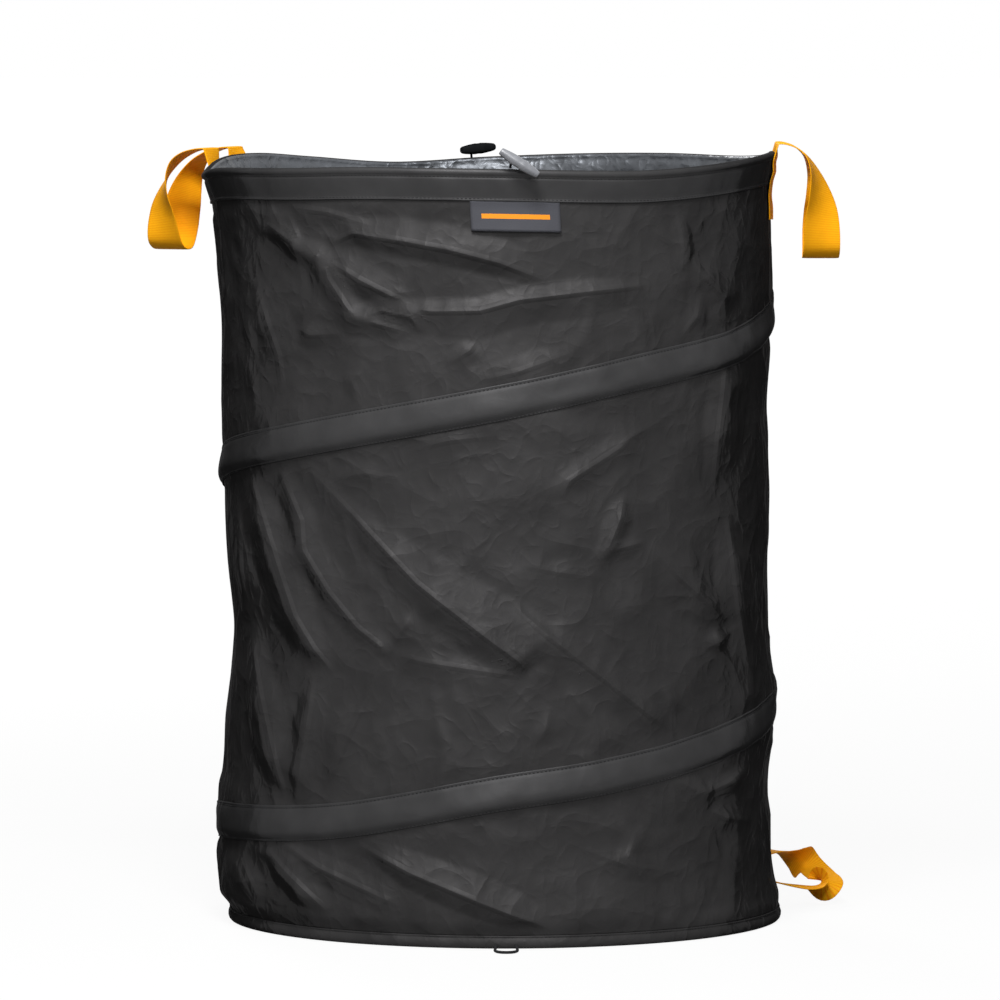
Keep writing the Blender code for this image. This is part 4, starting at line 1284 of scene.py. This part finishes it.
def build_label():
    builder = bmesh.new()
    half = math.degrees(LABEL_WIDTH / SEAM_WALL_RADIUS) / 2.0

    def place(column, row):
        turn = LABEL_TURN - half + 2.0 * half * column / LABEL_COLUMNS
        top = rim_seam(turn) + LABEL_TUCK
        share = row / LABEL_ROWS
        level = top - (LABEL_HEIGHT + LABEL_TUCK) * share
        edge = min(column, LABEL_COLUMNS - column) / LABEL_COLUMNS * 2.0
        proud = 0.0012 + 0.0016 * share ** 2 * edge ** 0.5
        proud += noise.noise(Vector((column * 0.16, share * 1.5, 3.0))) * 0.0006 * share
        face = max(skin_radius(turn, level), wall_line_radius(top) - 0.0006)
        return bag_point(turn, face + proud, level)

    add_grid(builder, LABEL_COLUMNS, LABEL_ROWS, place,
             lambda column, row: ((column / LABEL_COLUMNS - 0.5) * LABEL_WIDTH,
                                  (0.5 - row / LABEL_ROWS) * LABEL_HEIGHT))
    label = finish("label_patch", builder, label_paint)
    turn_outward(label)
    thicken(label, 0.0005)
    return label


label = build_label()
settle(label, "rim", "slate_label", "label")
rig.sheet(label, flat=(LABEL_WIDTH, LABEL_HEIGHT + LABEL_TUCK), held="hung",
         rests_on=["rim_hem_cloth"])


# Straps

STRAP_ACROSS = 12
STRAP_EDGE = 0.00035
RIB_HIGH = 0.00011
RIB_LOW = -0.00005
ROOT_REACH = HINGE_CLEARANCE * 3.0
ROOT_RISE = 0.0012
RIM_TAIL_STAND = GAP + WEB_CLOTH / 2.0


def resample(path, spacing):
    """Stations at an even spacing along a strap's smooth path."""
    fine = smoothed(path, 24)
    lengths = [0.0]
    for first, second in zip(fine, fine[1:]):
        lengths.append(lengths[-1] + math.dist(first[:3], second[:3]))
    count = round(lengths[-1] / spacing)
    made = []
    at = 0
    for step in range(count + 1):
        reach = lengths[-1] * step / count
        while at < len(lengths) - 2 and lengths[at + 1] < reach:
            at += 1
        share = (reach - lengths[at]) / max(lengths[at + 1] - lengths[at], 1e-9)
        made.append([a + (b - a) * share for a, b in zip(fine[at], fine[at + 1])])
    return made, lengths[-1]


def strap_section(centre, across, normal, crown):
    """Points round a strap: its upper face, one edge, its lower face and the other edge."""
    half = WEB_WIDTH / 2.0
    upper, lower = [], []
    for step in range(STRAP_ACROSS + 1):
        share = 2.0 * step / STRAP_ACROSS - 1.0
        middle = centre + across * (half - 0.0004) * share
        stand = normal * crown * (1.0 - 0.25 * abs(share) ** 8)
        upper.append(middle + stand)
        lower.append(middle - stand)
    right, left = centre + across * half, centre - across * half
    edge = normal * STRAP_EDGE
    return upper + [right + edge, right - edge] + lower[::-1] + [left - edge, left + edge]


def build_strap(name, path):
    """One strap from tail to tail, with its length. Stations give a place and a way across."""
    places, length = resample(path, RIB / 2.0)
    stations = []
    for index, row in enumerate(places):
        before = Vector(places[max(index - 1, 0)][:3])
        after = Vector(places[min(index + 1, len(places) - 1)][:3])
        along = (after - before).normalized()
        across = Vector(row[3:6])
        across = (across - along * across.dot(along)).normalized()
        crown = WEB_CLOTH / 2.0 - 0.0001 + (RIB_HIGH if index % 2 else RIB_LOW)
        stations.append(strap_section(Vector(row[:3]), across, along.cross(across), crown))
    around = len(stations[0])
    pitch = length / (len(places) - 1)

    def measure(column, row):
        share = row % around
        if share <= STRAP_ACROSS:
            across = share / STRAP_ACROSS
        else:
            across = 1.0 - min(max(share - STRAP_ACROSS - 2, 0) / STRAP_ACROSS, 1.0)
        return across * WEB_WIDTH, column * pitch

    return finish(name, sweep(stations, False, measure), web_paint), length


def station(centre, across):
    return [*centre, *across]


def loop_stations(frame, front, rear, fold, reach, rise):
    """Stations round a handle's loop, from rows of outward, sideways, upward and twist."""
    rows = [(out, -side, up, twist) for out, side, up, twist in front] + [fold]
    rows += [(out, side, up, 180.0 - twist) for out, side, up, twist in reversed(rear)]
    made = []
    for out, side, up, twist in rows:
        angle = math.radians(twist)
        made.append(station(frame.at(out * reach, side * ROOT_SPREAD, up * rise),
                            frame.side * math.cos(angle) + frame.out * math.sin(angle)))
    return made


def rim_tail(frame, way):
    """Stations of a tail from its crest down the outside of the hem."""
    turn = frame.turn + way * math.degrees(math.asin(ROOT_SPREAD / RIM_OUTER_RADIUS))
    crest = rim_top(round(turn % 360.0, 6))
    seam = crest - RIM_HEM_HEIGHT
    line = wall_line_radius(seam) + RIM_TAIL_STAND
    rows = [(RIM_OUTER_RADIUS + RIM_TAIL_STAND, crest - 0.0042),
            (RIM_OUTER_RADIUS - 0.001, crest - 0.012),
            (line + 0.0062, seam + 0.012), (line + 0.0027, seam + 0.002)]
    for share in (0.3, 0.65, 1.0):
        level = seam + (crest - RIM_TAIL - seam) * share
        rows.append((skin_radius(turn, level) + 0.0006 + WEB_CLOTH / 2.0, level))
    start = frame.at(HINGE_CLEARANCE * 0.4, way * ROOT_SPREAD, -0.001)
    return [station(start, frame.side)] + [
        station(bag_point(turn, radius, level), sideways(turn)) for radius, level in rows]


def base_tail(frame, way):
    """Stations of a tail from its hinge up the outside of the wall."""
    turn = frame.turn + way * math.degrees(math.asin(ROOT_SPREAD / BASE_OUTER_RADIUS))
    made = [station(frame.at(0.0001, way * ROOT_SPREAD, 0.0015), frame.side)]
    for share in (0.25, 0.5, 0.75, 1.0):
        level = BASE_HINGE_LEVEL + (BASE_TAIL_TOP - BASE_HINGE_LEVEL) * share
        radius = skin_radius(turn, level) + 0.0004 + WEB_CLOTH / 2.0
        made.append(station(bag_point(turn, radius, level), sideways(turn)))
    return made


def add_strap(body, handle, frame, tail, loop):
    """A strap up one tail, round its loop and down the other tail, bending at its hinge."""
    last = [row[:3] + [-part for part in row[3:]] for row in tail(frame, 1)]
    strap, length = build_strap(handle + "_strap", tail(frame, -1)[::-1] + loop + last)
    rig.blend(strap, body, handle, start=frame.at(0.0002, 0.0, 0.0),
             end=frame.at(0.0130, 0.0, 0.0))
    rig.replaces(strap, *(handle + end for end in ("_loop", "_tail_a", "_tail_b")))
    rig.slot(strap, "orange_webbing")
    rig.sheet(strap, flat=(WEB_WIDTH, round(length, 3)), held="folded")


for handle, turn, reach, drop in (("right_handle", 0, 0.047, 0.118),
                                  ("left_handle", 158, 0.060, 0.106)):
    hinge = Frame(turn, rim_top(turn) + WEB_ARCH, RIM_OUTER_RADIUS + RIM_TAIL_STAND)
    loop = loop_stations(hinge, HANGING_SHARES, HANGING_SHARES, HANGING_FOLD, reach, drop)
    root = [station(hinge.at(ROOT_REACH, -ROOT_SPREAD, ROOT_RISE), hinge.side)]
    end = [station(hinge.at(ROOT_REACH, ROOT_SPREAD, ROOT_RISE), -hinge.side)]
    add_strap("rim", handle, hinge, rim_tail, root + loop + end)

BASE_HANDLE_TURN = 22
foot_radius = strip_radius(2 * COLUMNS - BASE_HANDLE_TURN * COLUMNS / 360.0, BASE_HINGE_LEVEL)
hinge = Frame(BASE_HANDLE_TURN, BASE_HINGE_LEVEL, foot_radius + GAP + WEB_CLOTH / 2.0)
add_strap("base", "base_handle", hinge, base_tail,
          loop_stations(hinge, BASE_FRONT_SHARES, BASE_REAR_SHARES, BASE_FOLD, 0.080, 0.020))


# Stitches

STITCH_PITCH = 0.0042
STITCH_LENGTH = 0.0030
STITCH_RADIUS = 0.00032
RIM_STITCH_LINES = ((0.0017, 0.0026), (0.0059, 0.0243))
BASE_STITCH_ROW = 3
SLEEVE_STITCH_LINES = ((0.0238, 0.0012), (-0.0090, 0.0013))


def add_stitch(builder, centre, along, normal):
    """One thread bead, half sunk in the cloth."""
    side = normal.cross(along)
    made = bmesh.ops.create_icosphere(builder, subdivisions=1, radius=1.0)
    for vertex in made["verts"]:
        vertex.co = (centre + along * vertex.co.x * STITCH_LENGTH / 2.0
                     + (side * vertex.co.y + normal * vertex.co.z) * STITCH_RADIUS)


def build_stitches(name, rows):
    """Beads at an even pitch along lines of points and the ways outward there."""
    builder = bmesh.new()
    for row in rows:
        reach = 0.0
        for (first, normal), (second, _) in zip(row, row[1:]):
            span = (second - first).length
            along = (second - first).normalized()
            while reach < span:
                add_stitch(builder, first + along * reach, along, normal)
                reach += STITCH_PITCH
            reach -= span
    return finish(name, builder, thread_paint)


def ring_row(place):
    """A line round the bag; place gives the radius and the level at a turn."""
    turns = [round(column_turn(quarter / 4.0) % 360.0, 6) for quarter in range(COLUMNS * 4 + 1)]
    return [(bag_point(turn, *place(turn)), outward(turn)) for turn in turns]


def rim_row(out, up):
    return ring_row(lambda turn: (wall_line_radius(rim_seam(turn)) + out, rim_seam(turn) + up))


def spiral_row(height, stand):
    fines = [SLEEVE_FIRST + step / 4.0 for step in range((SLEEVE_LAST - SLEEVE_FIRST) * 4 + 1)]
    return [(sleeve_point(fine, height, stand), outward(column_turn(fine))) for fine in fines]


rim_stitches = build_stitches("rim_hem_stitches", [rim_row(*line) for line in RIM_STITCH_LINES])
settle(rim_stitches, "rim", "black_hem_cloth")
base_row = ring_row(lambda turn: base_hem_profile(turn)[BASE_STITCH_ROW])
settle(build_stitches("base_hem_stitches", [base_row]), "base", "black_hem_cloth")
spiral_stitches = build_stitches("spiral_sleeve_stitches",
                                 [spiral_row(*line) for line in SLEEVE_STITCH_LINES])
fold_down(spiral_stitches)
settle(spiral_stitches, "base", "black_hem_cloth")


# Toggles, cords and elastic loops

TOGGLE_SIDES = 24
TOGGLE_HALF = (
    (0.0, 0.94), (0.05, 0.95), (0.08, 0.985), (0.15, 0.95), (0.26, 0.88), (0.36, 0.79),
    (0.44, 0.70), (0.485, 0.62), (0.497, 0.56), (0.5, 0.46),
)
FRONT_TILT = math.radians(33)
REAR_YAW = math.radians(39)
REAR_TILT = math.radians(4)


def build_toggle(name, centre, along, normal, material):
    """A barrel that tapers to its ends, with six shallow flats and a seat for its cord."""
    side = normal.cross(along).normalized()
    normal = along.cross(side).normalized()
    stations = []
    for place, width in [(-a, b) for a, b in TOGGLE_HALF[:0:-1]] + list(TOGGLE_HALF):
        loop = []
        for step in range(TOGGLE_SIDES):
            angle = math.tau * step / TOGGLE_SIDES
            radius = TOGGLE_RADIUS * width * (1.0 - 0.06 * abs(math.cos(3.0 * angle)) ** 4)
            loop.append(centre + along * TOGGLE_LENGTH * place
                        + (side * math.cos(angle) + normal * math.sin(angle)) * radius)
        stations.append(loop)
    return finish(name, sweep(stations, False), material)


def add_cord(name, body, node, place, offsets, steps, radius):
    points = smoothed([place.at(*offset) for offset in offsets], steps)
    cord, length = tube(name, points, radius, cord_paint)
    settle(cord, body, "black_cord", node)
    return cord, points, length, radius


def declare_cord(cord, points, length, radius):
    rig.cord(cord, exit=points[0], length=round(length, 4), diameter=2.0 * radius,
            far_end="object", stiffness="medium", lay="loose", path=points)


front = Frame(270, RIM_LEVEL, RIM_OUTER_RADIUS)
along = front.side * math.cos(FRONT_TILT) - front.up * math.sin(FRONT_TILT)
toggle = build_toggle("front_toggle_barrel", front.at(*FRONT_TOGGLE), along, front.out, grey_paint)
settle(toggle, "front_toggle", "grey_plastic", "front_toggle")

rear = Frame(90, RIM_LEVEL, RIM_OUTER_RADIUS)
along = rear.out * math.sin(REAR_YAW) - rear.side * math.cos(REAR_YAW)
along = along * math.cos(REAR_TILT) + rear.up * math.sin(REAR_TILT)
toggle = build_toggle("rear_toggle_barrel", rear.at(*REAR_TOGGLE), along, rear.up, black_paint)
settle(toggle, "rear_toggle", "black_plastic", "rear_toggle")

add_cord("front_toggle_string", "front_toggle_cord", "front_toggle_cord", front, FRONT_CORD, 6,
         CORD_RADIUS)
declare_cord(*add_cord("rear_toggle_string", "rear_toggle", "rear_toggle_cord", rear, REAR_CORD,
                       6, CORD_RADIUS))

for end, turn, mirror in (("front", 270, 1), ("rear", 90, -1)):
    offsets = [(out, mirror * side, up) for out, side, up in ELASTIC_LOOP]
    loop_node = end + "_base_loop"
    declare_cord(*add_cord(end + "_elastic", loop_node, loop_node,
                           Frame(turn, 0.0, BASE_OUTER_RADIUS), offsets, 5, ELASTIC_RADIUS))


# Wires inside the hems and the sleeve

for name in ("top_ring_wire", "base_ring_wire", "top_ring_ferrule", "base_ring_ferrule",
             "spiral_wire", "spiral_wire_upper_tip", "spiral_wire_lower_tip"):
    node = frame["nodes"][name]
    node.data.materials.clear()
    node.data.materials.append(rubber_paint if name.endswith("tip") else steel_paint)
    if name.startswith("spiral"):
        fold_down(node)


# Floor, light and camera

def build_floor():
    builder = bmesh.new()
    bmesh.ops.create_grid(builder, x_segments=8, y_segments=8, size=60.0)
    floor = finish("floor", builder, floor_paint(), smooth=False)
    if floor.data.polygons[0].normal.z < 0.0:
        floor.data.flip_normals()
    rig.stage(floor)


def seen_directly(tree):
    """1 where a camera, mirror or glass ray looks, and 0 for light on the object."""
    path = add_node(tree, "LightPath")
    total = path.outputs["Is Camera Ray"]
    for name in ("Is Glossy Ray", "Is Transmission Ray"):
        both = add_node(tree, "Math", operation="MAXIMUM")
        feed(both.inputs[0], total)
        feed(both.inputs[1], path.outputs[name])
        total = both.outputs["Value"]
    return total


def blend_shaders(tree, share, first, second, output):
    blend = add_node(tree, "MixShader", Fac=share)
    feed(blend.inputs[1], first)
    feed(blend.inputs[2], second)
    feed(tree.nodes[output].inputs["Surface"], blend.outputs["Shader"])


def floor_paint():
    """Pale matt floor that glows a little where it is seen, and keeps the shadow."""
    paint = Paint("white_floor", (0.22, 0.22, 0.22), 0.9, specular=0.0)
    away = paint.node("VectorMath", "Value", operation="LENGTH",
                      Vector=paint.coordinates("Object"))
    glow = paint.node("Emission", "Emission", Strength=paint.between(away, 1.5, 6.0, 1.28, 1.40))
    share = paint.math("MULTIPLY", seen_directly(paint.tree), 0.72)
    blend_shaders(paint.tree, share, paint.shader.outputs["BSDF"], glow, "Material Output")
    return paint.material


def set_world():
    """Soft even light, and a white room wherever the background is seen."""
    world = bpy.data.worlds.new("white_room")
    bpy.context.scene.world = world
    world.use_nodes = True
    tree = world.node_tree
    soft, white = tree.nodes["Background"], add_node(tree, "Background")
    for node, strength in ((soft, 0.18), (white, 1.0)):
        feed(node.inputs["Color"], (1.0, 1.0, 1.0))
        feed(node.inputs["Strength"], strength)
    blend_shaders(tree, seen_directly(tree), soft.outputs["Background"],
                  white.outputs["Background"], "World Output")


def add_lamp(name, place, target, size, power):
    data = bpy.data.lights.new(name, "AREA")
    data.shape = "RECTANGLE"
    data.size = data.size_y = size
    data.energy = power
    lamp = bpy.data.objects.new(name, data)
    bpy.context.collection.objects.link(lamp)
    lamp.location = place
    lamp.rotation_euler = (Vector(target) - Vector(place)).to_track_quat("-Z", "Y").to_euler()


def add_camera():
    data = bpy.data.cameras.new("camera")
    data.lens = 294.0
    data.sensor_width = 36.0
    data.clip_end = 200.0
    camera = bpy.data.objects.new("camera", data)
    bpy.context.collection.objects.link(camera)
    place = Vector((-0.0048, -8.5, 1.0))
    target = Vector((-0.0048, 0.0, 0.437))
    camera.location = place
    camera.rotation_euler = (target - place).to_track_quat("-Z", "Y").to_euler()
    bpy.context.scene.camera = camera


build_floor()
set_world()
add_lamp("key", (-0.15, -1.40, 2.15), (0.0, 0.0, 0.5), 0.6, 52.0)
add_lamp("fill", (0.2, -4.0, 2.2), (0.0, 0.0, 0.4), 0.8, 54.0)
add_lamp("back", (-1.2, 3.4, 2.6), (0.0, 0.0, 0.4), 1.0, 70.0)
add_camera()
bpy.context.scene.view_settings.view_transform = "Standard"

seen_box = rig.bounds()
json.dump({"cad": [list(corner) for corner in cad_box],
           "visual": [list(corner) for corner in seen_box]},
          open("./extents.json", "w"))
